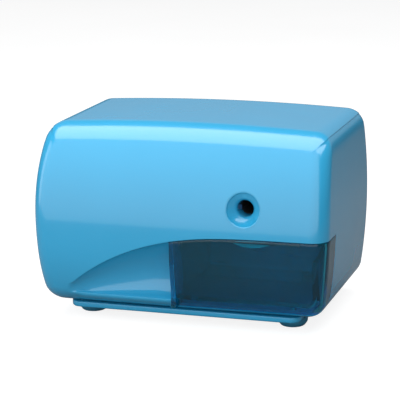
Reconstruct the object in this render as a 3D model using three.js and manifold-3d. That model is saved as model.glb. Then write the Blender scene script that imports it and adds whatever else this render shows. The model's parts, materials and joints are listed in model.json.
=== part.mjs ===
// Electric desk pencil sharpener: a light blue housing with a pencil inlet, a clear blue
// shavings drawer beside a finger scoop, and inside it a motor, two gear stages and a
// planetary helical cutter. Millimetres, +Z up. The front faces -Y. The origin is on the
// surface it stands on, under the middle of the housing.
import * as THREE from "three";
import { mergeVertices } from "three/addons/utils/BufferGeometryUtils.js";
import Module from "manifold-3d";

const wasm = await Module();
wasm.setup();

// ---------------------------------------------------------------- driving dimensions
const WIDTH = 160; // over the bulging sides
const DEPTH = 104.5;
const HEIGHT = 105.5; // top of the crown over the desk
const FLOOR_Z = 8.7; // underside of the housing
const WALL = 2.4;
const GAP = 0.3; // between pieces that meet
const SIDE_RADIUS = 300; // the sides bulge
const SIDE_MIDDLE_Z = 60;
const TOP_RADIUS = 1270; // the top is slightly crowned
const CORNER_RADIUS = 10.5; // of the front elevation
const FRONT_FILLET = 9;
const BACK_FILLET = 6;
const BELLY_Z = 47.4; // the height where the front stands out most
const FRONT_SPLIT_Y = 46; // housing ahead of it, rear cover behind it

const PENCIL = { x: 36.5, z: 66.5, holeRadius: 4.4, mouthRadius: 8.4 };
const DRAWER = { left: -3, top: 51.4, bottom: 11.4, wrapEndY: -29, wall: 2.6 };
const TRAY = { right: 74.3, bottom: 16.3, top: 41, backY: 15.5, corner: 6 };
const SCOOP = { left: -60, floorZ: 16, depth: 12.5, archRise: 30, archRight: 52 };
const MOUTH_BACK_Y = -47.4; // where the pencil mouth's cone ends and its straight bore begins
const BASE = { halfX: 63.5, frontY: -40.5, backY: 43.5, bottomZ: 5.4, corner: 6 };
const FEET = { x: 55.7, frontY: -23.7, backY: 31, radius: 8.1, height: 5.1 };

const SWELL = { rise: 13.5, reach: 48.4, power: 2.6, sides: 0.8 }; // the front face falls back
const BASE_SCREW = { x: 59, y: [-34, 36], bossTop: 15.6, seatZ: 7.4 };
const REAR_SCREW = { x: 72.6, z: [25, 84], boss: 4.4, seatY: 48.2 };
const BULKHEAD = { front: 17.5, back: 20, left: -48, right: 70.5, bottom: 9.2, top: 98.5 };
const GEAR_COVER = { front: 34.5, back: 37, left: -44.5, right: 67, bottom: 37.5, top: 97 };
const STAGE_ONE = { front: 21.6, back: 26.6 }; // motor pinion and the idler's big wheel
const STAGE_TWO = { front: 27.6, back: 33.4 }; // the idler's small wheel and the carrier gear
const PRESSURE_ANGLE = Math.PI / 9;
const MODULE = 1;
const TEETH = { motor: 12, idlerBig: 48, idlerSmall: 12, carrier: 54, ring: 40, planet: 12 };
const MOTOR = { x: -24, z: 62, radius: 18, frontY: -33, shaftRadius: 1.6, screwOff: 12.5, wall: 1.4 };
const CUTTER = { tilt: THREE.MathUtils.degToRad(11), radius: 6, flutes: 8, tipY: 6, helix: 0.42 };

// ---------------------------------------------------------------- solids and booleans
// Six times the volume that a closed mesh holds, negative where its faces point inwards.
function signedVolume(positions, index) {
  const [a, b, c] = [new THREE.Vector3(), new THREE.Vector3(), new THREE.Vector3()];
  let sum = 0;
  for (let i = 0; i < index.length; i += 3) {
    a.fromArray(positions, 3 * index[i]);
    b.fromArray(positions, 3 * index[i + 1]);
    c.fromArray(positions, 3 * index[i + 2]);
    sum += a.dot(b.cross(c));
  }
  return sum;
}

function toSolid(geometry) {
  const bare = geometry.clone();
  bare.deleteAttribute("normal");
  bare.deleteAttribute("uv");
  const merged = mergeVertices(bare, 1e-4);
  const vertProperties = new Float32Array(merged.attributes.position.array);
  const triVerts = new Uint32Array(merged.index.array);
  if (signedVolume(vertProperties, triVerts) < 0) triVerts.reverse();
  return new wasm.Manifold(new wasm.Mesh({ numProp: 3, vertProperties, triVerts }));
}

function toGeometry(solid) {
  const mesh = solid.getMesh();
  const geometry = new THREE.BufferGeometry();
  geometry.setAttribute("position", new THREE.BufferAttribute(new Float32Array(mesh.vertProperties), 3));
  geometry.setIndex(new THREE.BufferAttribute(new Uint32Array(mesh.triVerts), 1));
  return geometry;
}

const join = (...solids) => solids.reduce((sum, s) => sum.add(s));
const cut = (from, ...tools) => tools.reduce((rest, t) => rest.subtract(t), from);

function box(x0, x1, y0, y1, z0, z1) {
  const g = new THREE.BoxGeometry(x1 - x0, y1 - y0, z1 - z0);
  return toSolid(g.translate((x0 + x1) / 2, (y0 + y1) / 2, (z0 + z1) / 2));
}

// A cylinder or cone along Y, or along Z.
function rodY(x, z, y0, y1, r0, sides = 16, r1 = r0) {
  const g = new THREE.CylinderGeometry(r1, r0, y1 - y0, sides);
  return toSolid(g.translate(x, (y0 + y1) / 2, z));
}
function rodZ(x, y, z0, z1, r0, sides = 16, r1 = r0) {
  const g = new THREE.CylinderGeometry(r1, r0, z1 - z0, sides).rotateX(Math.PI / 2);
  return toSolid(g.translate(x, y, (z0 + z1) / 2));
}

// Outlines: points are [across, up]. alongY reads them as [x, z], alongX as [y, z].
const shapeOf = (points) => new THREE.Shape(points.map(([a, b]) => new THREE.Vector2(a, b)));
const flat = { bevelEnabled: false, curveSegments: 2 };
function alongY(shape, y0, y1, curveSegments = 2) {
  const g = new THREE.ExtrudeGeometry(shape, { ...flat, depth: y1 - y0, curveSegments });
  return toSolid(g.rotateX(Math.PI / 2).translate(0, y1, 0));
}
function alongX(shape, x0, x1) {
  const g = new THREE.ExtrudeGeometry(shape, { ...flat, depth: x1 - x0 });
  const turn = new THREE.Matrix4().makeBasis(
    new THREE.Vector3(0, 1, 0),
    new THREE.Vector3(0, 0, 1),
    new THREE.Vector3(1, 0, 0),
  );
  return toSolid(g.applyMatrix4(turn).translate(x0, 0, 0));
}
function alongZ(shape, z0, z1) {
  return toSolid(new THREE.ExtrudeGeometry(shape, { ...flat, depth: z1 - z0 }).translate(0, 0, z0));
}
function roundedRectangle(x0, x1, y0, y1, r) {
  const s = new THREE.Shape();
  s.moveTo(x0 + r, y0).lineTo(x1 - r, y0).absarc(x1 - r, y0 + r, r, -Math.PI / 2, 0);
  s.lineTo(x1, y1 - r).absarc(x1 - r, y1 - r, r, 0, Math.PI / 2);
  s.lineTo(x0 + r, y1).absarc(x0 + r, y1 - r, r, Math.PI / 2, Math.PI);
  s.lineTo(x0, y0 + r).absarc(x0 + r, y0 + r, r, Math.PI, 1.5 * Math.PI);
  return s;
}

// A profile [radius, height], both ends on the axis or closed on itself, turned about Z or Y.
function turned(profile, sides) {
  return new THREE.LatheGeometry(profile.map(([r, h]) => new THREE.Vector2(r, h)), sides);
}
const turnedY = (profile, x, z, sides = 24) => toSolid(turned(profile, sides).translate(x, 0, z));
function turnedZ(profile, x, y, sides = 24) {
  return toSolid(turned(profile, sides).rotateX(Math.PI / 2).translate(x, y, 0));
}

const circle = (cx, cy, r) => new THREE.Shape().absarc(cx, cy, r, 0, 2 * Math.PI);

// A closed skin over rings of equally many points, with a fan to the middle of each end ring.
function loft(rings, firstMiddle) {
  const n = rings[0].length;
  const middle = (ring) => ring.reduce((sum, p) => sum.add(p), new THREE.Vector3()).divideScalar(n);
  const points = [...rings.flat(), firstMiddle ?? middle(rings[0]), middle(rings.at(-1))];
  const first = rings.length * n;
  const index = [];
  for (let i = 0; i < n; i++) {
    const j = (i + 1) % n;
    index.push(first, i, j, first + 1, (rings.length - 1) * n + j, (rings.length - 1) * n + i);
    for (let k = 0; k < rings.length - 1; k++) {
      const a = k * n;
      index.push(a + i, a + n + i, a + j, a + j, a + n + i, a + n + j);
    }
  }
  const g = new THREE.BufferGeometry().setFromPoints(points);
  g.setIndex(index);
  return toSolid(g);
}

// ---------------------------------------------------------------- the housing's outer form
const sideCentreX = WIDTH / 2 - SIDE_RADIUS;
const topCentreZ = HEIGHT - TOP_RADIUS;

function arc(cx, cz, r, from, to, segments) {
  const points = [];
  for (let i = 0; i < segments; i++) {
    const a = from + ((to - from) * i) / segments;
    points.push([cx + r * Math.cos(a), cz + r * Math.sin(a)]);
  }
  return points;
}

// Where the circle of the top corner stands: inside the side's arc and inside the top's arc.
function topCornerCentre() {
  const rs = SIDE_RADIUS - CORNER_RADIUS;
  const rt = TOP_RADIUS - CORNER_RADIUS;
  const dx = -sideCentreX;
  const dz = topCentreZ - SIDE_MIDDLE_Z;
  const d = Math.hypot(dx, dz);
  const along = (rs * rs - rt * rt + d * d) / (2 * d);
  const off = Math.sqrt(rs * rs - along * along);
  return [sideCentreX + (dx * along - dz * off) / d, SIDE_MIDDLE_Z + (dz * along + dx * off) / d];
}

// The front elevation, taken in by inset, anticlockwise from the middle of the bottom.
function elevation(inset) {
  const r = CORNER_RADIUS - inset;
  const [tx, tz] = topCornerCentre();
  const bz = FLOOR_Z + CORNER_RADIUS;
  const bx = sideCentreX + Math.sqrt((SIDE_RADIUS - CORNER_RADIUS) ** 2 - (bz - SIDE_MIDDLE_Z) ** 2);
  const low = Math.atan2(bz - SIDE_MIDDLE_Z, bx - sideCentreX);
  const high = Math.atan2(tz - SIDE_MIDDLE_Z, tx - sideCentreX);
  const crown = Math.atan2(tz - topCentreZ, tx);
  const bottom = [];
  for (let i = 0; i < 2; i++) bottom.push([(bx * i) / 2, FLOOR_Z + inset]);
  const right = [
    ...bottom,
    ...arc(bx, bz, r, -Math.PI / 2, low, 4),
    ...arc(sideCentreX, SIDE_MIDDLE_Z, SIDE_RADIUS - inset, low, high, 5),
    ...arc(tx, tz, r, high, crown, 4),
    ...arc(0, topCentreZ, TOP_RADIUS - inset, crown, Math.PI / 2, 2),
  ];
  const crownPoint = [0, HEIGHT - inset];
  const left = right.slice(1).reverse().map(([x, z]) => [-x, z]);
  return [...right, crownPoint, ...left];
}

// How far back the front surface lies at a place on the elevation.
function frontY(x, z) {
  const swell = Math.abs((z - BELLY_Z) / SWELL.reach) ** SWELL.power;
  return -DEPTH / 2 + SWELL.rise * swell + SWELL.sides * (x / (WIDTH / 2)) ** 2;
}

const FACE_RINGS = [0.4, 0.75]; // the front's rings between its middle and its fillet

// The housing's form taken in by inset on every side, ending at backY if that is given.
function form(inset, backY) {
  const centreZ = (HEIGHT + FLOOR_Z) / 2;
  const centre = new THREE.Vector3(0, frontY(0, centreZ) + inset, centreZ);
  const fillet = FRONT_FILLET - inset;
  const rings = [];
  function ring(points, depthAt) {
    rings.push(points.map(([x, z]) => new THREE.Vector3(x, depthAt(x, z), z)));
  }
  for (const share of FACE_RINGS) {
    const points = elevation(FRONT_FILLET).map(([x, z]) => [x * share, centreZ + (z - centreZ) * share]);
    ring(points, (x, z) => frontY(x, z) + inset);
  }
  for (let i = 0; i <= 3; i++) {
    const a = ((Math.PI / 2) * (3 - i)) / 3;
    const sink = fillet * (1 - Math.sin(a));
    ring(elevation(inset + fillet * (1 - Math.cos(a))), (x, z) => frontY(x, z) + inset + sink);
  }
  if (backY !== undefined) {
    ring(elevation(inset), () => backY);
    return loft(rings, centre);
  }
  const back = Math.max(BACK_FILLET - inset, 1);
  for (let i = 0; i <= 2; i++) {
    const a = ((Math.PI / 2) * i) / 2;
    const backAt = DEPTH / 2 - inset - back * (1 - Math.sin(a));
    ring(elevation(inset + back * (1 - Math.cos(a))), () => backAt);
  }
  return loft(rings, centre);
}

const ARCH_RUN = 110; // over which the arch falls by SCOOP.archRise

// The upper edge of the scoop and of the drawer's front.
const archZ = (x) => DRAWER.top - SCOOP.archRise * (Math.max(0, SCOOP.archRight - x) / ARCH_RUN) ** 3;

// Everything in front of wrapEndY under the arch, right of fromX and over lowZ.
function underArch(fromX, lowZ, raise, backY) {
  const points = [[fromX, lowZ], [WIDTH, lowZ], [WIDTH, DRAWER.top + raise]];
  for (let x = SCOOP.archRight; x > fromX; x -= 11) points.push([x, archZ(x) + raise]);
  points.push([fromX, archZ(fromX) + raise]);
  return alongY(shapeOf(points), -DEPTH, backY);
}

// The scoop's hollow: each cross-section is a bowl between the sill and the arch.
function scoopHollow(grow) {
  const rings = [];
  const steps = 6;
  const rightEnd = DRAWER.left - GAP;
  for (let i = 0; i <= steps; i++) {
    const share = i / steps;
    const x = SCOOP.left + (rightEnd - SCOOP.left) * share;
    const floor = SCOOP.floorZ - grow;
    const roof = Math.max(archZ(x), SCOOP.floorZ + 2) + grow;
    const deep = SCOOP.depth * Math.min(1, share * 1.25) ** 0.7 + grow + 0.4;
    const ring = [new THREE.Vector3(x, -DEPTH, floor)];
    for (let k = 0; k <= 6; k++) {
      const t = k / 6;
      const z = floor + (roof - floor) * t;
      const bowl = Math.abs(Math.sin(Math.PI * t ** 0.8)) ** 0.62;
      ring.push(new THREE.Vector3(x, frontY(x, z) - 0.4 + deep * bowl, z));
    }
    ring.push(new THREE.Vector3(x, -DEPTH, roof));
    rings.push(ring);
  }
  return loft(rings);
}

// ---------------------------------------------------------------- casings
const outer = form(0);
const core = form(WALL, DEPTH);

function frontHousing() {
  const shell = cut(outer, core);
  const margin = box(DRAWER.left - 4, 66, -DEPTH, DRAWER.wrapEndY + 3, 0, DRAWER.top + 3);
  const rebate = cut(outer, form(WALL * 2 + GAP, DEPTH)).intersect(margin);
  const scoopWall = scoopHollow(WALL - 0.2).intersect(outer);
  const inletBoss = rodY(PENCIL.x, PENCIL.z, -50.5, -45.6, 11, 24).intersect(outer);
  let housing = join(shell, rebate, scoopWall, inletBoss);
  for (const sx of [-1, 1]) {
    for (const z of REAR_SCREW.z) {
      housing = join(housing, rodY(sx * REAR_SCREW.x, z, 32, FRONT_SPLIT_Y + 3, REAR_SCREW.boss, 8));
    }
    for (const y of BASE_SCREW.y) {
      housing = join(housing, rodZ(sx * BASE_SCREW.x, y, FLOOR_Z + 1, BASE_SCREW.bossTop, 3.6, 8));
    }
  }
  // what the drawer's clear front takes out of the skin, and the way in for its tray
  const panelSpace = underArch(DRAWER.left - GAP, DRAWER.bottom - GAP, GAP, DRAWER.wrapEndY + GAP);
  const frontPanel = cut(panelSpace, form(WALL + GAP, DEPTH));
  const bayShape = new THREE.Shape();
  const right = TRAY.right + GAP;
  const low = TRAY.bottom - GAP;
  const bayTop = archZ(DRAWER.left) + GAP;
  bayShape.moveTo(DRAWER.left - GAP, low).lineTo(right - TRAY.corner, low);
  bayShape.absarc(right - TRAY.corner, low + TRAY.corner, TRAY.corner, -Math.PI / 2, 0);
  bayShape.lineTo(right, DRAWER.top + GAP).lineTo(DRAWER.left - GAP, bayTop);
  const bay = alongY(bayShape, -DEPTH, 30);
  const cheek = box(DRAWER.left - GAP, DRAWER.left + DRAWER.wall + GAP, -DEPTH, -36, 11.2, bayTop);
  const mouth = rodY(PENCIL.x, PENCIL.z, -52.6, MOUTH_BACK_Y, PENCIL.mouthRadius + 1.1, 24, 5);
  const inlet = rodY(PENCIL.x, PENCIL.z, -60, -40, PENCIL.holeRadius, 24);
  const floorOpening = alongZ(roundedRectangle(-54, 54, -30, FRONT_SPLIT_Y + 10, 4), 0, 12);
  housing = cut(housing, scoopHollow(0), frontPanel, bay, cheek, mouth, inlet, floorOpening);
  housing = cut(housing, box(-WIDTH, WIDTH, FRONT_SPLIT_Y, DEPTH, 0, HEIGHT + 5));
  for (const sx of [-1, 1]) {
    for (const z of REAR_SCREW.z) housing = cut(housing, rodY(sx * REAR_SCREW.x, z, 35, DEPTH, 1.5, 8));
    for (const y of BASE_SCREW.y) {
      housing = cut(housing, rodZ(sx * BASE_SCREW.x, y, 0, BASE_SCREW.bossTop - 0.8, 1.5, 8));
    }
  }
  return housing;
}

const GLAND = { x: -50, z: 26 };
function rearCover() {
  const shell = cut(outer, form(WALL, DEPTH / 2 - WALL));
  const from = FRONT_SPLIT_Y + GAP;
  let cover = shell.intersect(box(-WIDTH, WIDTH, from, DEPTH, 0, HEIGHT + 5));
  cover = join(cover, rodY(GLAND.x, GLAND.z, 47, 51, 10, 20));
  for (const sx of [-1, 1]) {
    for (const z of REAR_SCREW.z) {
      const x = sx * REAR_SCREW.x;
      cover = cut(cover, rodY(x, z, 40, from, REAR_SCREW.boss + 0.4, 8));
      cover = join(cover, rodY(x, z, from, 51, REAR_SCREW.boss, 12).intersect(outer));
      cover = cut(cover, rodY(x, z, 40, 60, 1.8, 12), rodY(x, z, REAR_SCREW.seatY, 60, 3.6, 8));
    }
  }
  cover = cut(cover, rodY(GLAND.x, GLAND.z, 40, 60, 5, 20), rodY(GLAND.x, GLAND.z, 50.3, 60, 7.8, 20));
  for (let i = 0; i < 6; i++) {
    const x = -50 + 8 * i;
    cover = cut(cover, box(x, x + 2.6, 40, 60, 62, 84));
  }
  return cover;
}

function basePlate() {
  const top = FLOOR_Z - GAP;
  function plan(inset) {
    const x = BASE.halfX - inset;
    return roundedRectangle(-x, x, BASE.frontY + inset, BASE.backY - inset, BASE.corner - inset);
  }
  let plate = alongZ(plan(0), BASE.bottomZ + 1, top);
  plate = join(plate, alongZ(plan(1), BASE.bottomZ, BASE.bottomZ + 1.2));
  // rails that hold the bulkhead, and posts under the circuit board
  plate = join(plate, box(-50, 50, BULKHEAD.front - 2.5, BULKHEAD.front - GAP, top - 1, 13.5));
  plate = join(plate, box(-50, 50, BULKHEAD.back + GAP, BULKHEAD.back + 2.5, top - 1, 13.5));
  for (const x of [3, 47]) plate = join(plate, box(x, x + 2, -25.5, 15, top - 1, TRAY.bottom - GAP));
  for (const [x, y] of BOARD_HOLES) plate = join(plate, rodZ(x, y, top - 1, BOARD.z - GAP, 2.6, 8));
  for (const sx of [-1, 1]) {
    for (const y of [FEET.frontY, FEET.backY]) plate = cut(plate, rodZ(sx * FEET.x, y, 0, 20, 3, 8));
    for (const y of BASE_SCREW.y) {
      plate = cut(plate, rodZ(sx * BASE_SCREW.x, y, 0, 20, 1.8, 12));
      plate = cut(plate, rodZ(sx * BASE_SCREW.x, y, 0, BASE_SCREW.seatZ, 3.2, 12));
    }
  }
  return plate;
}

function foot() {
  const r = FEET.radius;
  const top = FEET.height;
  const cup = [
    [0, 1.2], [3.6, 1.2], [4.6, 0], [6.2, 0], [r - 0.2, 2.2], [r, top - 0.6], [r - 0.6, top],
    [2.7, top], [2.7, 8.2], [0, 8.2],
  ];
  return toGeometry(turnedZ(cup, 0, 0, 14));
}

// ---------------------------------------------------------------- drawer
function shavingsDrawer() {
  const w = DRAWER.wall;
  const skin = cut(outer, form(WALL, DEPTH));
  const front = skin.intersect(underArch(DRAWER.left, DRAWER.bottom, 0, DRAWER.wrapEndY));
  const inside = form(WALL - 0.6, DEPTH);
  const plan = (inset, back) => {
    const s = new THREE.Shape();
    s.moveTo(DRAWER.left + inset, TRAY.bottom + inset).lineTo(TRAY.right - TRAY.corner, TRAY.bottom + inset);
    s.absarc(TRAY.right - TRAY.corner, TRAY.bottom + TRAY.corner, TRAY.corner - inset, -Math.PI / 2, 0);
    s.lineTo(TRAY.right - inset, back).lineTo(DRAWER.left + inset, back);
    return s;
  };
  const tub = cut(
    alongY(plan(0, TRAY.top), -DEPTH, TRAY.backY).intersect(inside),
    alongY(plan(w, TRAY.top + 5), -DEPTH, TRAY.backY - w).intersect(form(WALL, DEPTH)),
  );
  const cheek = box(DRAWER.left, DRAWER.left + w, -DEPTH, -38, 11.5, archZ(DRAWER.left)).intersect(inside);
  return join(front, tub, cheek);
}

// ---------------------------------------------------------------- spur and bevel gears
const polar = (r, angle) => [r * Math.cos(angle), r * Math.sin(angle)];
const involute = (angle) => Math.tan(angle) - angle;

// A gear outline with a tooth pointing along `turn`; thin is taken off each tooth at the pitch
// circle, and rows are the radii on each flank between root and tip.
function gearOutline(teeth, pitchRadius, addendum, dedendum, thin, turn, rows) {
  const base = pitchRadius * Math.cos(PRESSURE_ANGLE);
  const half = Math.PI / 2 / teeth - thin / (2 * pitchRadius);
  const rollAngle = (r) => involute(Math.acos(base / Math.max(r, base)));
  const flankAngle = (r) => half + involute(PRESSURE_ANGLE) - rollAngle(r);
  const radii = [];
  const height = addendum + dedendum;
  for (let i = 0; i < rows; i++) radii.push(pitchRadius - dedendum + (height * i) / (rows - 1));
  const points = [];
  for (let k = 0; k < teeth; k++) {
    const middle = turn + (2 * Math.PI * k) / teeth;
    for (const r of radii) points.push(polar(r, middle - flankAngle(r)));
    for (const r of [...radii].reverse()) points.push(polar(r, middle + flankAngle(r)));
  }
  return points;
}

const shift = (points, x, z) => points.map(([a, b]) => [a + x, b + z]);
function spur(teeth, x, z, y0, y1, addendum, turn, rows) {
  const outline = gearOutline(teeth, (MODULE * teeth) / 2, addendum, 1.2, 0.16, turn, rows);
  return alongY(shapeOf(shift(outline, x, z)), y0, y1);
}

// The idler stands on the far side of both centre distances, above the line that joins the shafts.
const idlerToCarrier = (MODULE * (TEETH.idlerSmall + TEETH.carrier)) / 2;
const idlerToMotor = (MODULE * (TEETH.idlerBig + TEETH.motor)) / 2;
function idlerCentre() {
  const dx = PENCIL.x - MOTOR.x;
  const dz = PENCIL.z - MOTOR.z;
  const d = Math.hypot(dx, dz);
  const along = (idlerToMotor ** 2 - idlerToCarrier ** 2 + d * d) / (2 * d);
  const off = Math.sqrt(idlerToMotor ** 2 - along * along);
  return [MOTOR.x + (dx * along - dz * off) / d, MOTOR.z + (dz * along + dx * off) / d];
}
const [IDLER_X, IDLER_Z] = idlerCentre();
const carrierToIdler = Math.atan2(IDLER_Z - PENCIL.z, IDLER_X - PENCIL.x);
const idlerToMotorTurn = Math.atan2(MOTOR.z - IDLER_Z, MOTOR.x - IDLER_X);

function carrierGear() {
  const { front, back } = STAGE_TWO;
  const wheel = spur(TEETH.carrier, PENCIL.x, PENCIL.z, front, back, 0.7, carrierToIdler, 2);
  const hub = rodY(PENCIL.x, PENCIL.z, STAGE_ONE.front, STAGE_TWO.back, 7, 20);
  let gear = join(wheel, hub);
  const dish = cut(rodY(PENCIL.x, PENCIL.z, STAGE_TWO.front + 3, 40, 22, 30), hub);
  gear = cut(gear, dish);
  return cut(gear, rodY(PENCIL.x, PENCIL.z, 0, 40, CARRIER.shaftRadius + GAP, 20));
}

function idlerGear() {
  const { front, back } = STAGE_ONE;
  const big = spur(TEETH.idlerBig, IDLER_X, IDLER_Z, front, back, 0.7, idlerToMotorTurn, 2);
  const turn = carrierToIdler + Math.PI + Math.PI / TEETH.idlerSmall;
  const small = spur(TEETH.idlerSmall, IDLER_X, IDLER_Z, STAGE_ONE.back - 0.5, STAGE_TWO.back, 1, turn, 4);
  return cut(join(big, small), rodY(IDLER_X, IDLER_Z, 0, 40, 2.5 + GAP, 8));
}

function motorPinion() {
  const turn = idlerToMotorTurn + Math.PI + Math.PI / TEETH.motor;
  const pinion = spur(TEETH.motor, MOTOR.x, MOTOR.z, STAGE_ONE.front, STAGE_ONE.back, 1, turn, 4);
  return cut(pinion, rodY(MOTOR.x, MOTOR.z, 0, 40, MOTOR.shaftRadius + GAP, 8));
}

// ---------------------------------------------------------------- the planetary cutter
// The cutter's axis and the pencil's meet at the apex, behind the pencil's point. The bevel
// pinion on the cutter rolls inside the fixed ring, whose pitch cone has the same apex.
const apexY = CUTTER.tipY + CUTTER.radius / Math.sin(CUTTER.tilt);
const planetCone = Math.atan2(Math.sin(CUTTER.tilt), TEETH.ring / TEETH.planet - Math.cos(CUTTER.tilt));
const ringCone = planetCone + CUTTER.tilt;
const RING = { front: -35.4, back: -28.4, outerRadius: 23.4 };
const FACE = { front: -38.8, back: -36 }; // the chassis's front plate, which holds the front bush
const ringMiddleY = RING.back - 2.5;
const coneDistance = (apexY - ringMiddleY) / Math.cos(ringCone);
const ringPitch = coneDistance * Math.sin(ringCone);
const planetPitch = coneDistance * Math.sin(planetCone);
const bevelModule = (2 * planetPitch) / TEETH.planet;
const planetMiddle = coneDistance * Math.cos(planetCone); // along the cutter's axis, from the apex

// An extrusion along Z between two distances from the apex, scaled in proportion to distance.
function conical(points, near, far, middle) {
  const g = new THREE.ExtrudeGeometry(shapeOf(points), { ...flat, depth: far - near });
  g.translate(0, 0, near);
  const at = g.attributes.position;
  for (let i = 0; i < at.count; i++) {
    const scale = at.getZ(i) / middle;
    at.setXY(i, at.getX(i) * scale, at.getY(i) * scale);
  }
  return g;
}

// From apex coordinates, +Z towards the pencil, to the part's frame.
function fromApex(geometry, tilt) {
  geometry.rotateX(Math.PI / 2 - tilt);
  return toSolid(geometry.translate(PENCIL.x, apexY, PENCIL.z));
}

function ringGear() {
  const m = bevelModule;
  const spaces = gearOutline(TEETH.ring, ringPitch, 1.2 * m, 0.7 * m, -0.22, -Math.PI / 2, 2);
  const [near, far] = [apexY - RING.back - 1, apexY - RING.front + 1];
  const hollow = fromApex(conical(spaces, near, far, apexY - ringMiddleY), 0);
  return cut(rodY(PENCIL.x, PENCIL.z, RING.front, RING.back, RING.outerRadius, 30), hollow);
}

// Solids of the cutter are made along +Z from the apex and then tilted into place.
const alongCutter = (geometry) => fromApex(geometry, CUTTER.tilt);
function cutterRod(from, to, radius, sides = 20) {
  const g = new THREE.CylinderGeometry(radius, radius, to - from, sides).rotateX(Math.PI / 2);
  return alongCutter(g.translate(0, 0, (from + to) / 2));
}
const atY = (y) => (apexY - y) / Math.cos(CUTTER.tilt);
const PLANET = { near: planetMiddle - 2.3, far: planetMiddle + 2.3 };

function cutterPinion() {
  const m = bevelModule;
  const outline = gearOutline(TEETH.planet, planetPitch, 0.9 * m, 1.1 * m, 0.22, -Math.PI / 2, 4);
  const pinion = alongCutter(conical(outline, PLANET.near, PLANET.far, planetMiddle));
  return cut(pinion, cutterRod(0, 100, 3.7, 8));
}

function helicalCutter() {
  const near = atY(8);
  const far = atY(-23.6);
  const points = [];
  for (let k = 0; k < CUTTER.flutes; k++) {
    const a = (2 * Math.PI * k) / CUTTER.flutes;
    for (const [depth, part] of [[0, 0], [0.5, 0.25], [1.3, 0.92]]) {
      points.push(polar(CUTTER.radius - depth, a + (2 * Math.PI * part) / CUTTER.flutes));
    }
  }
  const g = new THREE.ExtrudeGeometry(shapeOf(points), { ...flat, depth: far - near, steps: 7 });
  const at = g.attributes.position;
  const twist = Math.tan(CUTTER.helix) / CUTTER.radius;
  for (let i = 0; i < at.count; i++) {
    const turn = at.getZ(i) * twist;
    const x = at.getX(i);
    const y = at.getY(i);
    at.setXY(i, x * Math.cos(turn) - y * Math.sin(turn), x * Math.sin(turn) + y * Math.cos(turn));
  }
  const blades = alongCutter(g.translate(0, 0, near));
  const neck = cutterRod(far - 1, PLANET.far + 0.6, 3.4);
  return cut(join(blades, neck), cutterRod(0, 100, 2.1, 8));
}

const CARRIER = { front: -27.6, frontBack: -24.9, rear: 9.2, rearBack: 12.2, shaftRadius: 4 };
const cutterPin = () => cutterRod(atY(11.4), atY(-34), 1.8, 12);

function cutterCarrier() {
  const { x, z } = PENCIL;
  let yoke = rodY(x, z, CARRIER.front, CARRIER.frontBack, 17.4, 24);
  yoke = join(yoke, rodY(x, z, CARRIER.rear, CARRIER.rearBack, 17.4, 24));
  // the half cage opposite the cutter
  const cage = cut(rodY(x, z, CARRIER.front, CARRIER.rearBack, 17.4, 24), rodY(x, z, -50, 50, 14.6, 24));
  yoke = join(yoke, cut(cage, box(x - 30, x + 30, -60, 60, z - 5, z + 30)));
  yoke = join(yoke, rodY(x, z, -39.8, CARRIER.front + 1, 5.9, 20)); // hollow journal
  yoke = join(yoke, rodY(x, z, CARRIER.rearBack - 1, 38.6, CARRIER.shaftRadius, 20));
  const pencilWay = rodY(x, z, -60, 4, 4.6, 24);
  return cut(yoke, pencilWay, cutterRod(atY(-24), atY(-29), 3.8, 12), cutterRod(atY(14), atY(0), 2.1, 8));
}

// ---------------------------------------------------------------- chassis, plates and bearings
const TUNNEL = { inner: 24.2, outer: 26.4, ceiling: 2.2 };

function chassis() {
  const { x, z } = PENCIL;
  const ceiling = DRAWER.top - 3; // top face of the bay's ceiling
  const under = ceiling - TUNNEL.ceiling;
  const s = new THREE.Shape();
  s.moveTo(-6.2, 17).lineTo(-4, 17).lineTo(-4, under).lineTo(x - TUNNEL.inner, under);
  s.lineTo(x - TUNNEL.inner, z).absarc(x, z, TUNNEL.inner, Math.PI, 0, true);
  s.lineTo(x + TUNNEL.inner, under).lineTo(74, under).lineTo(74, ceiling).lineTo(x + TUNNEL.outer, ceiling);
  s.lineTo(x + TUNNEL.outer, z).absarc(x, z, TUNNEL.outer, 0, Math.PI);
  s.lineTo(x - TUNNEL.outer, ceiling).lineTo(-6.2, ceiling);
  const walls = alongY(s, FACE.back - 0.2, BULKHEAD.front - GAP, 8);
  const face = new THREE.Shape();
  face.moveTo(x - TUNNEL.outer, under).lineTo(x + TUNNEL.outer, under).lineTo(x + TUNNEL.outer, z);
  face.absarc(x, z, TUNNEL.outer, 0, Math.PI);
  const front = cut(alongY(face, FACE.front, FACE.back, 8), rodY(x, z, -60, -20, 8.6, 20));
  return join(walls, front).intersect(form(WALL + GAP, DEPTH));
}

function pencilGuide() {
  const bore = PENCIL.holeRadius;
  const profile = [
    [bore, -45.2], [7.2, -45.2], [7.2, -41.9],
    [13.5, -41.9], [13.5, -40.4], [bore, -40.4], [bore, -45.2],
  ];
  const slot = box(PENCIL.x - 16, PENCIL.x, START.y - 1.4, START.y + 1.4, START.z - 1.6, START.z + 1.6);
  return cut(turnedY(profile, PENCIL.x, PENCIL.z, 20), slot);
}

function bush(x, z, y0, y1, bore, outside, flange) {
  const rim = [[bore, y0], [flange, y0], [flange, y0 + 1], [outside, y0 + 1]];
  return turnedY([...rim, [outside, y1], [bore, y1], [bore, y0]], x, z, 20);
}

const MOTOR_BOSS = 5;
const BUSH_RADIUS = 6; // of the two bushes on the carrier's rear shaft
const IDLER_PIN_RADIUS = 2.2;
const PLATE_POSTS = [[-40, 90], [60, 92], [-40, 40], [62.5, 42]];

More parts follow.
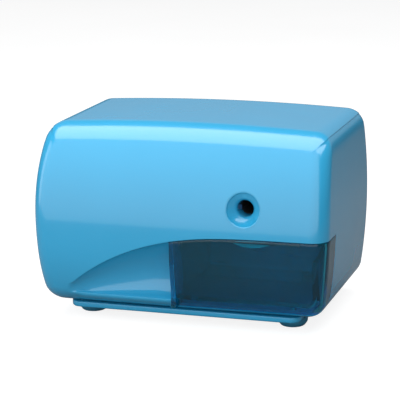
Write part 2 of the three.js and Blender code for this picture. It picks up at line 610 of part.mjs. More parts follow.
function bulkhead() {
  const { left, right, bottom, top } = BULKHEAD;
  let plate = alongY(roundedRectangle(left, right, bottom, top, 6), BULKHEAD.front, BULKHEAD.back);
  const holes = [
    [PENCIL.x, PENCIL.z, BUSH_RADIUS + GAP, 20],
    [MOTOR.x, MOTOR.z, MOTOR_BOSS + GAP, 20],
    [MOTOR.x, MOTOR.z - MOTOR.screwOff, 1.7, 10],
    [MOTOR.x, MOTOR.z + MOTOR.screwOff, 1.7, 10],
    [IDLER_X, IDLER_Z, IDLER_PIN_RADIUS + GAP, 12],
    [INTERLOCK.x, INTERLOCK.z, 1.7, 8],
  ];
  for (const [x, z, r, sides] of holes) plate = cut(plate, rodY(x, z, 0, 40, r, sides));
  for (const [x, z] of PLATE_POSTS) {
    plate = join(plate, rodY(x, z, BULKHEAD.back - 1, GEAR_COVER.front - GAP, 3.4, 14));
    plate = cut(plate, rodY(x, z, BULKHEAD.back + 4, 60, 1.5, 8));
  }
  // the lower corners clear the base plate's posts and the housing's floor
  return cut(plate, box(-51, -30, 10, 30, 0, 13.8), box(50.5, 80, 10, 30, 0, 16));
}

function gearCover() {
  const { left, right, bottom, top } = GEAR_COVER;
  let plate = alongY(roundedRectangle(left, right, bottom, top, 5), GEAR_COVER.front, GEAR_COVER.back);
  plate = cut(plate, rodY(PENCIL.x, PENCIL.z, 0, 60, BUSH_RADIUS + GAP, 20));
  plate = cut(plate, rodY(IDLER_X, IDLER_Z, 0, 60, IDLER_PIN_RADIUS + GAP, 8));
  plate = cut(plate, rodY(MOTOR.x, MOTOR.z, 0, 60, 8, 20));
  for (const [x, z] of PLATE_POSTS) plate = cut(plate, rodY(x, z, 0, 60, 1.8, 8));
  return plate;
}

// A pan-head screw whose shank runs along +Z from the head's underside.
function screw(shank, head = 2.9, radius = 1.3) {
  const rise = 1.7;
  const profile = [
    [0, shank], [radius, shank - 1.2], [radius, 0],
    [head, 0], [head, -0.7], [head * 0.6, -rise], [0, -rise],
  ];
  const body = toSolid(turned(profile, 10).rotateX(Math.PI / 2));
  return toGeometry(cut(body, box(-head, head, -0.35, 0.35, -3, -1)));
}

// ---------------------------------------------------------------- motor
function motorCan() {
  const { x, z, radius } = MOTOR;
  const back = BULKHEAD.front - GAP;
  let can = rodY(x, z, MOTOR.frontY + 3, back, radius, 24);
  can = cut(can, rodY(x, z, MOTOR.frontY, back - 1.6, radius - MOTOR.wall, 24));
  can = join(can, rodY(x, z, back - 1, BULKHEAD.back - 0.2, MOTOR_BOSS, 20));
  can = cut(can, rodY(x, z, 0, 60, 3.4, 8));
  for (const up of [-1, 1]) can = cut(can, rodY(x, z + up * MOTOR.screwOff, 0, 60, 1.5, 10));
  return can;
}
function motorEndBell() {
  const { x, z, radius } = MOTOR;
  const y = MOTOR.frontY;
  let bell = join(rodY(x, z, y, y + 2.7, radius - 0.2, 24), rodY(x, z, y - 2.6, y + 1, 5.5, 20));
  bell = join(bell, rodY(x, z, y + 2, y + 6, radius - 1.8, 24));
  bell = cut(bell, rodY(x, z, y + 2.6, y + 10, radius - 3.4, 24));
  return cut(bell, rodY(x, z, y - 1, y + 10, MOTOR.shaftRadius + 0.4, 8));
}

// One of two arcs of the magnet ring, above the shaft (side 1) or below it (side -1).
function magnet(side) {
  const { x, z, radius } = MOTOR;
  const whole = cut(rodY(x, z, -22, 8, radius - 1.8, 24), rodY(x, z, -30, 20, radius - 5.2, 24));
  const middle = z + side * 17.5;
  return whole.intersect(box(x - 30, x + 30, -40, 20, middle - 12.5, middle + 12.5));
}
const ARMATURE_SLOTS = 5;
function armatureCore() {
  const points = [];
  // half of a pole, from its root out to the middle of its shoe: [radius, angle off the middle]
  const halfPole = [[5, 0.5], [9.6, 0.2], [10.6, 0.54], [12.2, 0.54], [12.4, 0]];
  for (let k = 0; k < ARMATURE_SLOTS; k++) {
    const a = (2 * Math.PI * k) / ARMATURE_SLOTS;
    for (const [r, off] of halfPole) points.push(polar(r, a - off));
    for (const [r, off] of halfPole.slice(1, 4).reverse()) points.push(polar(r, a + off));
  }
  const stack = alongY(shapeOf(shift(points, MOTOR.x, MOTOR.z)), -19, 5);
  return cut(stack, rodY(MOTOR.x, MOTOR.z, -60, 60, MOTOR.shaftRadius + GAP, 8));
}
function armatureWinding() {
  const { x, z } = MOTOR;
  let coil = join(rodY(x, z, -22.6, -19.3, 9.4, 20), rodY(x, z, 5.3, 9, 9.4, 20));
  coil = cut(coil, rodY(x, z, -60, 60, 3, 8));
  for (let k = 0; k < ARMATURE_SLOTS; k++) {
    const a = (2 * Math.PI * (k + 0.5)) / ARMATURE_SLOTS;
    coil = join(coil, rodY(x + 8.2 * Math.cos(a), z + 8.2 * Math.sin(a), -20, 6, 1.1, 8));
  }
  return coil;
}
const brush = (side) => {
  const [near, far] = [MOTOR.x + side * 3.9, MOTOR.x + side * 9];
  return box(Math.min(near, far), Math.max(near, far), -27.4, -24.4, MOTOR.z - 1.6, MOTOR.z + 1.6);
};
function commutator() {
  const { x, z, shaftRadius } = MOTOR;
  return cut(rodY(x, z, -28, -23.4, 3.6, 15), rodY(x, z, -60, 60, shaftRadius + GAP, 8));
}
const motorShaft = () => rodY(MOTOR.x, MOTOR.z, MOTOR.frontY - 0.6, 30, MOTOR.shaftRadius, 14);

// ---------------------------------------------------------------- electrics
const BOARD = { x0: -53, x1: -11, y0: -29, y1: 12, z: 15.4, thick: 1.6 };
const BOARD_HOLES = [[-50, -26], [-14, -26], [-50, 9], [-14, 9]];
const INTERLOCK = { x: 64, z: 26 };
const START = { x: 20.8, y: -42.4, z: PENCIL.z };

function circuitBoard() {
  let board = box(BOARD.x0, BOARD.x1, BOARD.y0, BOARD.y1, BOARD.z, BOARD.z + BOARD.thick);
  for (const [x, y] of BOARD_HOLES) board = cut(board, rodZ(x, y, 0, 30, 1.4, 10));
  return board;
}
function bridgeRectifier() {
  const z = BOARD.z + BOARD.thick + GAP;
  const legs = [-48, -44, -40, -36].map((x) => box(x - 0.4, x + 0.4, -12.4, -11.6, z, z + 3));
  return join(box(-50, -34, -14, -10, z + 2, z + 14), ...legs);
}
function capacitor() {
  const z = BOARD.z + BOARD.thick + GAP;
  const can = [[0, 0], [5, 0], [5, 1.4], [4.6, 2], [5, 2.6], [5, 16], [4.4, 16.6], [0, 16.6]];
  return turnedZ(can.map(([r, h]) => [r, z + h]), -26, -20, 16);
}
function terminalBlock() {
  const z = BOARD.z + BOARD.thick + GAP;
  const block = box(-44, -26, 3, 10, z, z + 9);
  return cut(block, ...[-40, -35, -30].map((x) => rodZ(x, 6.5, z + 5, z + 12, 1.6, 8)));
}

// The pencil pushes the feeler to the left, and the feeler pushes the switch's plunger.
function startSwitch() {
  const { x, y, z } = START;
  let body = box(x - 10, x, y - 2.8, y + 2.8, z - 6, z + 6);
  for (const tag of [z - 4, z, z + 4]) {
    body = join(body, box(x - 14, x - 9, y - 0.4, y + 0.4, tag - 1, tag + 1));
  }
  return cut(body, alongX(circle(y, z, 1.2), x - 2.6, x + 1));
}
const startPlunger = () => alongX(circle(START.y, START.z, 0.9), START.x - 0.8, START.x + 2.2);
function startFeeler() {
  const { x, y, z } = START;
  const nose = PENCIL.x - 2.9;
  const bar = [[x + 2.5, y + 1], [x + 2.5, y - 1], [nose - 1.4, y - 1], [nose, y + 0.4], [nose, y + 1]];
  return alongZ(shapeOf(bar), z - 1.2, z + 1.2);
}

function interlockSwitch() {
  const { x, z } = INTERLOCK;
  const back = BULKHEAD.back;
  let body = box(x - 5, x + 5, back + GAP, back + 12, z - 7, z + 7);
  for (const tag of [z - 4, z + 4]) {
    body = join(body, box(x - 0.4, x + 0.4, back + 11, back + 16, tag - 1.5, tag + 1.5));
  }
  return cut(body, rodY(x, z, 0, BULKHEAD.back + 8, 1.7, 8));
}

function interlockPlunger() {
  const tip = TRAY.backY + GAP;
  const end = BULKHEAD.back + 4;
  return turnedY([[0, tip], [1, tip], [1.4, tip + 0.7], [1.4, end], [0, end]], INTERLOCK.x, INTERLOCK.z, 12);
}

// A snap-in ring in the rear cover, open in the middle.
function cordGland() {
  const profile = [
    [3.4, 45.4], [6.4, 45.4], [6.6, 46.7], [4.7, 46.7], [4.7, 50.6],
    [7.5, 50.6], [7.1, 52], [3.8, 52.1], [3.4, 51.6], [3.4, 45.4],
  ];
  return turnedY(profile, GLAND.x, GLAND.z, 16);
}

// A lead: a round wire along a smooth curve through the given places.
function lead(places, radius) {
  const path = new THREE.CatmullRomCurve3(places.map((p) => new THREE.Vector3(...p)));
  const section = new THREE.Shape().absarc(0, 0, radius, 0, 2 * Math.PI);
  const settings = { ...flat, steps: 4 * places.length, curveSegments: 3, extrudePath: path };
  return toSolid(new THREE.ExtrudeGeometry(section, settings));
}

// ---------------------------------------------------------------- the assembly
const COLOURS = {
  blue: ["#5fb4dc", 0.2, 0],
  drawer: ["#0a4f8a", 0.08, 0],
  foot: ["#3f8fb5", 0.5, 0],
  dark: ["#23282d", 0.55, 0],
  nylon: ["#e9e6dc", 0.45, 0],
  steel: ["#c9ccd0", 0.3, 1],
  bronze: ["#b08d57", 0.4, 1],
  zinc: ["#9fa4a8", 0.4, 1],
  magnet: ["#3a3a3c", 0.7, 0],
  copper: ["#b4622d", 0.35, 1],
  board: ["#2f6b3c", 0.5, 0],
  black: ["#141517", 0.5, 0],
  red: ["#a51f1f", 0.5, 0],
};
const group = new THREE.Group();
function add(name, made, colour) {
  const [color, roughness, metalness] = COLOURS[colour];
  const geometry = made.isBufferGeometry ? made : toGeometry(made);
  const material = new THREE.MeshStandardMaterial({ color, roughness, metalness });
  const mesh = new THREE.Mesh(geometry, material);
  mesh.name = name;
  group.add(mesh);
  return mesh;
}

add("front_housing", frontHousing(), "blue");
add("rear_cover", rearCover(), "blue");
add("base_plate", basePlate(), "blue");
const footGeometry = foot();
for (const [side, sx] of [["left", -1], ["right", 1]]) {
  add(`foot_front_${side}`, footGeometry, "foot").position.set(sx * FEET.x, FEET.frontY, 0);
  add(`foot_rear_${side}`, footGeometry, "foot").position.set(sx * FEET.x, FEET.backY, 0);
}
const baseScrew = screw(7);
const rearScrew = screw(10);
[[-1, 0], [-1, 1], [1, 0], [1, 1]].forEach(([sx, row], i) => {
  const base = add(`base_screw_${i + 1}`, baseScrew, "steel");
  base.position.set(sx * BASE_SCREW.x, BASE_SCREW.y[row], BASE_SCREW.seatZ - GAP);
  const rear = add(`rear_screw_${i + 1}`, rearScrew, "steel");
  rear.position.set(sx * REAR_SCREW.x, REAR_SCREW.seatY + GAP, REAR_SCREW.z[row]);
  rear.rotation.x = Math.PI / 2;
});
add("cord_gland", cordGland(), "black");
add("shavings_drawer", shavingsDrawer(), "drawer");
add("pencil_guide", pencilGuide(), "blue");
add("chassis", chassis(), "dark");
add("ring_gear", ringGear(), "nylon");
const journal = (...sizes) => bush(PENCIL.x, PENCIL.z, ...sizes);
add("front_bush", journal(FACE.front - 1.3, FACE.back, 6.2, 8.3, 10), "bronze");
add("bulkhead", bulkhead(), "zinc");
add("rear_bush", journal(BULKHEAD.front - 1.3, BULKHEAD.back, 4.3, BUSH_RADIUS, 7.6), "bronze");
add("cover_bush", journal(GEAR_COVER.front - 1.1, GEAR_COVER.back, 4.3, BUSH_RADIUS, 7.4), "bronze");
add("gear_cover", gearCover(), "zinc");
const idlerPin = rodY(IDLER_X, IDLER_Z, BULKHEAD.front + 0.5, GEAR_COVER.back, IDLER_PIN_RADIUS, 12);
add("idler_pin", idlerPin, "steel");
const plateScrew = screw(8);
PLATE_POSTS.forEach(([x, z], i) => {
  const mesh = add(`cover_screw_${i + 1}`, plateScrew, "steel");
  mesh.position.set(x, GEAR_COVER.back + GAP, z);
  mesh.rotation.x = Math.PI / 2;
});
add("motor_can", motorCan(), "zinc");
add("motor_end_bell", motorEndBell(), "dark");
add("magnet_upper", magnet(1), "magnet");
add("magnet_lower", magnet(-1), "magnet");
const motorScrew = screw(5, 2.6, 1.2);
[-1, 1].forEach((up, i) => {
  const mesh = add(`motor_screw_${i + 1}`, motorScrew, "steel");
  mesh.position.set(MOTOR.x, BULKHEAD.back + GAP, MOTOR.z + up * MOTOR.screwOff);
  mesh.rotation.x = Math.PI / 2;
});
add("motor_shaft", motorShaft(), "steel");
add("armature_core", armatureCore(), "zinc");
add("armature_winding", armatureWinding(), "copper");
add("commutator", commutator(), "copper");
add("brush_left", brush(-1), "dark");
add("brush_right", brush(1), "dark");
add("motor_pinion", motorPinion(), "bronze");
add("idler_gear", idlerGear(), "nylon");
add("carrier_gear", carrierGear(), "nylon");
add("cutter_carrier", cutterCarrier(), "dark");
add("cutter_pin", cutterPin(), "steel");
add("helical_cutter", helicalCutter(), "steel");
add("cutter_pinion", cutterPinion(), "bronze");
add("circuit_board", circuitBoard(), "board");
add("bridge_rectifier", bridgeRectifier(), "black");
add("capacitor", capacitor(), "black");
add("terminal_block", terminalBlock(), "dark");
const boardTop = BOARD.z + BOARD.thick;
const leadRoute = (side, x, y) => [
  [x, y, boardTop + 0.6],
  [x, y - 1, boardTop + 8],
  [MOTOR.x + side * 8, MOTOR.frontY - 7, MOTOR.z - 22],
  [MOTOR.x + side * 8, MOTOR.frontY - 6, MOTOR.z - 8],
  [MOTOR.x + side * 8, MOTOR.frontY - 0.5, MOTOR.z - 3],
];
add("motor_lead_red", lead(leadRoute(-1, -45, -26), 0.8), "red");
add("motor_lead_black", lead(leadRoute(1, -33, -28), 0.8), "black");
add("start_switch", startSwitch(), "black");
add("start_plunger", startPlunger(), "red");
add("start_feeler", startFeeler(), "nylon");
add("interlock_switch", interlockSwitch(), "black");
add("interlock_plunger", interlockPlunger(), "red");

export default group;
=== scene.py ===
"""The looks of the electric desk pencil sharpener: its fine surfaces, materials, light and camera.

Sizes are in millimetres, as in the CAD model, and become metres where a mesh is made.
"""
import json
import math

import bmesh
import bpy
import numpy as np
from mathutils import Matrix, Vector


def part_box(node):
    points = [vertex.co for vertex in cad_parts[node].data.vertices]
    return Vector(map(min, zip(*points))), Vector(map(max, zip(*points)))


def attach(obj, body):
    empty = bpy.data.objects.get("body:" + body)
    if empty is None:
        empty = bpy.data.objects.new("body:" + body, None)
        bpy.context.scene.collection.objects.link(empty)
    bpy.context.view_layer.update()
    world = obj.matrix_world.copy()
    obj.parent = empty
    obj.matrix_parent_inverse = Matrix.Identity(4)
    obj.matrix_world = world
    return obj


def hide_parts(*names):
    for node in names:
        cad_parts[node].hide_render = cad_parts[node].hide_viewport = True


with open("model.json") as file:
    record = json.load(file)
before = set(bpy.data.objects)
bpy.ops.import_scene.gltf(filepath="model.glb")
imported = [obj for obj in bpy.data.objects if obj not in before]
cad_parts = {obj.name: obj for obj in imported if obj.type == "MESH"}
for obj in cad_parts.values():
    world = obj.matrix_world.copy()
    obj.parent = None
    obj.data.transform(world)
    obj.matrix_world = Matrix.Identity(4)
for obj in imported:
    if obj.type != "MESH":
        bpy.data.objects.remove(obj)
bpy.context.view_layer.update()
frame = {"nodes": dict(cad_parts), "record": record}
MM = 0.001

# ------------------------------------------------------------------ driving dimensions, as in the CAD
WIDTH = 160.0
DEPTH = 104.5
HEIGHT = 105.5
FLOOR_Z = 8.7
WALL = 2.4
GAP = 0.3
SIDE_RADIUS = 300.0
SIDE_MIDDLE_Z = 60.0
TOP_RADIUS = 1270.0
CORNER_RADIUS = 10.5
FRONT_FILLET = 9.0
BACK_FILLET = 6.0
BELLY_Z = 47.4
SPLIT_Y = 46.0  # front housing ahead of it, rear cover behind it
SWELL = {"rise": 13.5, "reach": 48.4, "power": 2.6, "sides": 0.8}
ARCH = {"top": 51.4, "fall": 30.0, "run": 110.0, "right": 52.0}
SCOOP = {"left": -60.0, "sill": 16.0, "depth": 12.5, "lip": 2.6, "edge": 0.5}
DRAWER = {"left": -3.0, "bottom": 11.4, "wrap_end": -29.0, "thick": 2.4, "wall": 2.6, "edge": 0.45}
TRAY = {"right": 74.3, "bottom": 16.3, "top": 41.0, "back": 15.5, "corner": 6.0}
PENCIL = {"x": 36.5, "z": 66.5, "hole": 4.4, "mouth": 8.4, "cone_end": -47.4, "bore_end": -40.0}
BASE = {"half_x": 63.5, "front": -40.5, "back": 43.5, "bottom": 5.4, "top": 8.4, "corner": 6.0}
FEET = {"x": 55.7, "front": -23.7, "back": 31.0}
STEM_HOLE = 3.0  # radius
BASE_SCREW = {"x": 59.0, "y": (-34.0, 36.0), "seat": 7.4, "well": 3.2, "way": 1.8}
REAR_SCREW = {"x": 72.6, "z": (25.0, 84.0), "seat": 48.2, "boss": 4.4, "well": 3.6, "way": 1.8}
GLAND = {"x": -50.0, "z": 26.0, "pad": 10, "seat": 7.8, "way": 5}
FLOOR_OPENING = {"half_x": 54, "front": -30, "corner": 4}  # in the housing, over the base plate
VENTS = {"first": -50.0, "pitch": 8.0, "count": 6, "width": 2.6, "low": 62.0, "high": 84.0}

SIDE_X = WIDTH / 2 - SIDE_RADIUS  # centre of the right side's arc
TOP_Z = HEIGHT - TOP_RADIUS  # centre of the top's arc


# ------------------------------------------------------------------ materials
def principled(name, colour, roughness, metallic=0.0):
    """A material with its Principled shader, and a helper that adds nodes to it."""
    material = bpy.data.materials.new(name)
    material.use_nodes = True
    tree = material.node_tree
    shader = tree.nodes["Principled BSDF"]
    shader.inputs["Base Color"].default_value = (*colour, 1)
    shader.inputs["Roughness"].default_value = roughness
    shader.inputs["Metallic"].default_value = metallic
    material.diffuse_color = (*colour, 1)
    return material, tree, shader


def object_coords(tree, stretch=(1, 1, 1)):
    """Object coordinates, which are the part's own frame in metres, scaled along each axis."""
    coords = tree.nodes.new("ShaderNodeTexCoord")
    mapping = tree.nodes.new("ShaderNodeMapping")
    mapping.inputs["Scale"].default_value = stretch
    tree.links.new(coords.outputs["Object"], mapping.inputs["Vector"])
    return mapping.outputs["Vector"]


def noise(tree, per_metre, detail=2.0, stretch=(1, 1, 1)):
    """A noise texture in object coordinates."""
    node = tree.nodes.new("ShaderNodeTexNoise")
    node.inputs["Scale"].default_value = per_metre
    node.inputs["Detail"].default_value = detail
    tree.links.new(object_coords(tree, stretch), node.inputs["Vector"])
    return node.outputs["Fac"]


def vary(tree, source, socket, low, high):
    """Drives a number from a texture, between low and high."""
    node = tree.nodes.new("ShaderNodeMapRange")
    node.inputs["From Min"].default_value = 0.3
    node.inputs["From Max"].default_value = 0.7
    node.inputs["To Min"].default_value = low
    node.inputs["To Max"].default_value = high
    tree.links.new(source, node.inputs["Value"])
    tree.links.new(node.outputs["Result"], socket)


def tint(tree, source, socket, first, second):
    """Drives a colour from a texture, from one colour to the other."""
    ramp = tree.nodes.new("ShaderNodeValToRGB")
    ramp.color_ramp.elements[0].position = 0.3
    ramp.color_ramp.elements[0].color = (*first, 1)
    ramp.color_ramp.elements[1].position = 0.7
    ramp.color_ramp.elements[1].color = (*second, 1)
    tree.links.new(source, ramp.inputs["Fac"])
    tree.links.new(ramp.outputs["Color"], socket)


def bump(tree, shader, source, height, rounding=None):
    """Relief of that height in metres. With rounding, edges are also softened by that radius."""
    node = tree.nodes.new("ShaderNodeBump")
    node.inputs["Distance"].default_value = height
    tree.links.new(source, node.inputs["Height"])
    if rounding:
        edge = tree.nodes.new("ShaderNodeBevel")
        edge.inputs["Radius"].default_value = rounding
        edge.samples = 6
        tree.links.new(edge.outputs["Normal"], node.inputs["Normal"])
    tree.links.new(node.outputs["Normal"], shader.inputs["Normal"])


def by_ray(tree, kind, usual, special, output):
    """Gives a surface or world one shader for one kind of ray and the usual one for the others."""
    path = tree.nodes.new("ShaderNodeLightPath")
    mix = tree.nodes.new("ShaderNodeMixShader")
    tree.links.new(path.outputs[kind], mix.inputs["Fac"])
    tree.links.new(usual, mix.inputs[1])
    tree.links.new(special, mix.inputs[2])
    tree.links.new(mix.outputs["Shader"], tree.nodes[output].inputs["Surface"])


def shade(colour, by):
    """A colour made lighter or darker by a factor."""
    return tuple(min(1.0, c * by) for c in colour)


def moulded(name, colour, roughness, grain=3.0e-6, rounding=None, per_metre=900, spread=0.05):
    """Moulded plastic or rubber: a faint unevenness of colour and gloss, and a fine skin relief."""
    material, tree, shader = principled(name, colour, roughness)
    dark, pale = shade(colour, 1 - spread), shade(colour, 1 + spread)
    tint(tree, noise(tree, 18), shader.inputs["Base Color"], dark, pale)
    vary(tree, noise(tree, 60, 4), shader.inputs["Roughness"], roughness * 0.9, roughness * 1.12)
    bump(tree, shader, noise(tree, per_metre, 3), grain, rounding)
    return material


def housing_blue():
    """The glossy light blue of the housing, with a thin clear skin."""
    material = moulded("housing_blue", (0.02, 0.275, 0.485), 0.2, 2.0e-6, 0.0004, 260, 0.02)
    shader = material.node_tree.nodes["Principled BSDF"]
    shader.inputs["IOR"].default_value = 1.5
    shader.inputs["Coat Weight"].default_value = 0.35
    shader.inputs["Coat Roughness"].default_value = 0.06
    return material


def drawer_clear():
    """Clear dark blue plastic: it refracts, and lets tinted light through to what is behind it."""
    material, tree, shader = principled("drawer_clear", (0.0, 0.38, 0.55), 0.03)
    shader.inputs["Transmission Weight"].default_value = 0.96
    shader.inputs["IOR"].default_value = 1.38
    vary(tree, noise(tree, 45, 3), shader.inputs["Roughness"], 0.015, 0.05)
    bump(tree, shader, noise(tree, 140, 2), 1.5e-6)
    tinted_shadow = tree.nodes.new("ShaderNodeBsdfTransparent")
    tinted_shadow.inputs["Color"].default_value = (0.4, 0.88, 0.95, 1)
    usual, special = shader.outputs["BSDF"], tinted_shadow.outputs["BSDF"]
    by_ray(tree, "Is Shadow Ray", usual, special, "Material Output")
    return material


def metal(name, colour, roughness, stretch, grain=1.5e-6, per_metre=600):
    """Worked metal with fine lines along its grain and slightly uneven tone."""
    material, tree, shader = principled(name, colour, roughness, 1.0)
    lines = noise(tree, per_metre, 4, stretch)
    tint(tree, noise(tree, 90, 3), shader.inputs["Base Color"], shade(colour, 0.84), shade(colour, 1.1))
    vary(tree, lines, shader.inputs["Roughness"], roughness * 0.75, roughness * 1.3)
    bump(tree, shader, lines, grain, 0.0002)
    return material


def wound_copper():
    """Enamelled wire: fine turns side by side."""
    material, tree, shader = principled("copper_wire", (0.6, 0.2, 0.07), 0.3, 1.0)
    wave = tree.nodes.new("ShaderNodeTexWave")
    wave.bands_direction = "Y"
    wave.inputs["Scale"].default_value = 420
    wave.inputs["Distortion"].default_value = 0.6
    tree.links.new(object_coords(tree), wave.inputs["Vector"])
    tint(tree, wave.outputs["Fac"], shader.inputs["Base Color"], (0.32, 0.09, 0.03), (0.72, 0.27, 0.1))
    bump(tree, shader, wave.outputs["Fac"], 6e-5)
    return material


def laminated_steel():
    """Stamped sheets stacked along the shaft."""
    material, tree, shader = principled("core_steel", (0.36, 0.37, 0.39), 0.4, 1.0)
    wave = tree.nodes.new("ShaderNodeTexWave")
    wave.bands_direction = "Y"
    wave.inputs["Scale"].default_value = 320
    tree.links.new(object_coords(tree), wave.inputs["Vector"])
    tint(tree, wave.outputs["Fac"], shader.inputs["Base Color"], (0.16, 0.16, 0.17), (0.42, 0.43, 0.45))
    bump(tree, shader, wave.outputs["Fac"], 4e-5)
    return material


def circuit_green():
    """Solder mask over copper traces."""
    material, tree, shader = principled("board_green", (0.03, 0.16, 0.06), 0.3)
    bricks = tree.nodes.new("ShaderNodeTexBrick")
    bricks.inputs["Scale"].default_value = 160
    bricks.inputs["Mortar Size"].default_value = 0.06
    bricks.inputs["Color1"].default_value = (0.02, 0.13, 0.045, 1)
    bricks.inputs["Color2"].default_value = (0.026, 0.16, 0.055, 1)
    bricks.inputs["Mortar"].default_value = (0.06, 0.28, 0.1, 1)
    tree.links.new(object_coords(tree), bricks.inputs["Vector"])
    tree.links.new(bricks.outputs["Color"], shader.inputs["Base Color"])
    bump(tree, shader, bricks.outputs["Fac"], 2e-5)
    return material


MATERIALS = {
    "housing_blue": housing_blue(),
    "drawer_clear": drawer_clear(),
    "foot_rubber": moulded("foot_rubber", (0.03, 0.2, 0.33), 0.42, 1.2e-5, 0.0003, 1400),
    "black_plastic": moulded("black_plastic", (0.016, 0.016, 0.018), 0.45, 1.0e-5, 0.0003, 1500),
    "dark_plastic": moulded("dark_plastic", (0.04, 0.045, 0.05), 0.4, 1.0e-5, 0.0003, 1500),
    "white_nylon": moulded("white_nylon", (0.78, 0.75, 0.67), 0.42, 5.0e-6, 0.0002, 800, 0.03),
    "red_plastic": moulded("red_plastic", (0.42, 0.02, 0.02), 0.25, 3.0e-6, 0.0002),
    "screw_steel": metal("screw_steel", (0.6, 0.6, 0.6), 0.3, (1, 1, 1)),
    "ground_steel": metal("ground_steel", (0.62, 0.62, 0.64), 0.22, (1, 0.1, 1)),
    "plated_sheet": metal("plated_sheet", (0.55, 0.56, 0.57), 0.34, (0.08, 1, 1)),
    "core_steel": laminated_steel(),
    "ferrite": moulded("ferrite", (0.045, 0.045, 0.05), 0.7, 2.0e-5, 0.0002, 2200, 0.15),
    "bronze": metal("bronze", (0.62, 0.4, 0.18), 0.36, (1, 1, 1), 4.0e-6, 2000),
    "copper_wire": wound_copper(),
    "carbon": moulded("carbon", (0.02, 0.02, 0.02), 0.55, 1.0e-5, 0.0002, 2600, 0.2),
    "board_green": circuit_green(),
    "lead_red": moulded("lead_red", (0.48, 0.02, 0.02), 0.32),
    "lead_black": moulded("lead_black", (0.018, 0.018, 0.018), 0.32),
}

# the start feeler, which is seen down the pencil mouth, is painted dark navy in place of its white nylon:
# painted shade, as deep in the bore
FEELER_PAINTED_SHADE = moulded("feeler_painted_shade", (0.008, 0.05, 0.12), 0.4, 5.0e-6, 0.0002, 800, 0.03)


# ------------------------------------------------------------------ mesh tools
def mesh_object(name, points, faces, sharp=35):
    """A mesh from points in millimetres, with edges sharper than an angle in degrees kept sharp."""
    mesh = bpy.data.meshes.new(name)
    mesh.from_pydata([Vector(p) * MM for p in points], [], faces)
    work = bmesh.new()
    work.from_mesh(mesh)
    bmesh.ops.remove_doubles(work, verts=work.verts, dist=2e-6)
    bmesh.ops.dissolve_degenerate(work, edges=work.edges, dist=1e-6)
    bmesh.ops.recalc_face_normals(work, faces=work.faces)
    work.to_mesh(mesh)
    work.free()
    made = bpy.data.objects.new(name, mesh)
    bpy.context.scene.collection.objects.link(made)
    smooth(made, sharp)
    return made


def smooth(made, sharp):
    """Shades a mesh smooth, but for edges sharper than an angle in degrees."""
    made.data.shade_smooth()
    made.data.set_sharp_from_angle(angle=math.radians(sharp))


def boolean(target, tool, operation="DIFFERENCE", sharp=35):
    """Cuts or joins target with tool, applies the result and removes the tool."""
    modifier = target.modifiers.new("boolean", "BOOLEAN")
    modifier.operation = operation
    modifier.solver = "MANIFOLD"
    modifier.object = tool
    graph = bpy.context.evaluated_depsgraph_get()
    result = bpy.data.meshes.new_from_object(target.evaluated_get(graph))
    target.modifiers.clear()
    target.data = result
    bpy.data.objects.remove(tool)
    smooth(target, sharp)
    return target


def finish_piece(piece, body, slot, *nodes):
    """Gives a piece the material of its slot and its body, and hides the CAD nodes that it stands for."""
    piece.data.materials.clear()
    piece.data.materials.append(MATERIALS[slot])
    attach(piece, body)
    if nodes:
        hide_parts(*nodes)


def stitch(rings, closed=True):
    """Faces between rings of equally many points, numbered one ring after another."""
    faces = []
    count = len(rings[0])
    for k in range(len(rings) - 1):
        for i in range(count if closed else count - 1):
            j = (i + 1) % count
            faces.append((k * count + i, k * count + j, (k + 1) * count + j, (k + 1) * count + i))
    return faces


def hoop(name, rings):
    """A closed solid over rings of points whose last ring joins the first, such as a bush."""
    count = len(rings) * len(rings[0])
    faces = [tuple(v % count for v in face) for face in stitch(rings + [rings[0]])]
    return mesh_object(name, [p for ring in rings for p in ring], faces)


def grid_faces(nx, nz, start=0):
    """Faces over a grid of nx by nz points, numbered column by column from start."""
    faces = []
    for i in range(nx - 1):
        for j in range(nz - 1):
            corner = start + i * nz + j
            faces.append((corner, corner + nz, corner + nz + 1, corner + 1))
    return faces


def border_places(nx, nz):
    """The edge of such a grid as places (i, j), anticlockwise from the lower left."""
    right, top = nx - 1, nz - 1
    places = [(i, 0) for i in range(right)] + [(right, j) for j in range(top)]
    places += [(i, top) for i in range(right, 0, -1)] + [(0, j) for j in range(top, 0, -1)]
    return places


def band(first, second):
    """Faces between two rings of point numbers."""
    faces = []
    for k in range(len(first)):
        n = (k + 1) % len(first)
        faces.append((first[k], second[k], second[n], first[n]))
    return faces


def loft(name, rings, sharp=35):
    """A closed solid over rings of points, with a flat face on each end."""
    count = len(rings[0])
    points = [p for ring in rings for p in ring]
    faces = stitch(rings)
    faces.append(tuple(range(count - 1, -1, -1)))
    faces.append(tuple((len(rings) - 1) * count + i for i in range(count)))
    return mesh_object(name, points, faces, sharp)


def lathe(name, profile, centre, axis="Z", sides=64, sharp=35):
    """Turns a profile of (radius, height) about Z or Y. Both ends are on the axis."""
    x0, y0, z0 = centre
    points, faces, rings = [], [], []
    for radius, height in profile:
        on_axis = radius < 1e-6
        ring = []
        for i in range(1 if on_axis else sides):
            a = 2 * math.pi * i / sides
            u, v = radius * math.cos(a), radius * math.sin(a)
            points.append((x0 + u, y0 + v, z0 + height) if axis == "Z" else (x0 + u, y0 + height, z0 + v))
            ring.append(len(points) - 1)
        rings.append(ring)
    for first, second in zip(rings, rings[1:]):
        for i in range(sides):
            j = (i + 1) % sides
            near = [first[i % len(first)], first[j % len(first)]]
            far = [second[j % len(second)], second[i % len(second)]]
            face = tuple(dict.fromkeys(near + far))
            if len(face) > 2:
                faces.append(face)
    return mesh_object(name, points, faces, sharp)


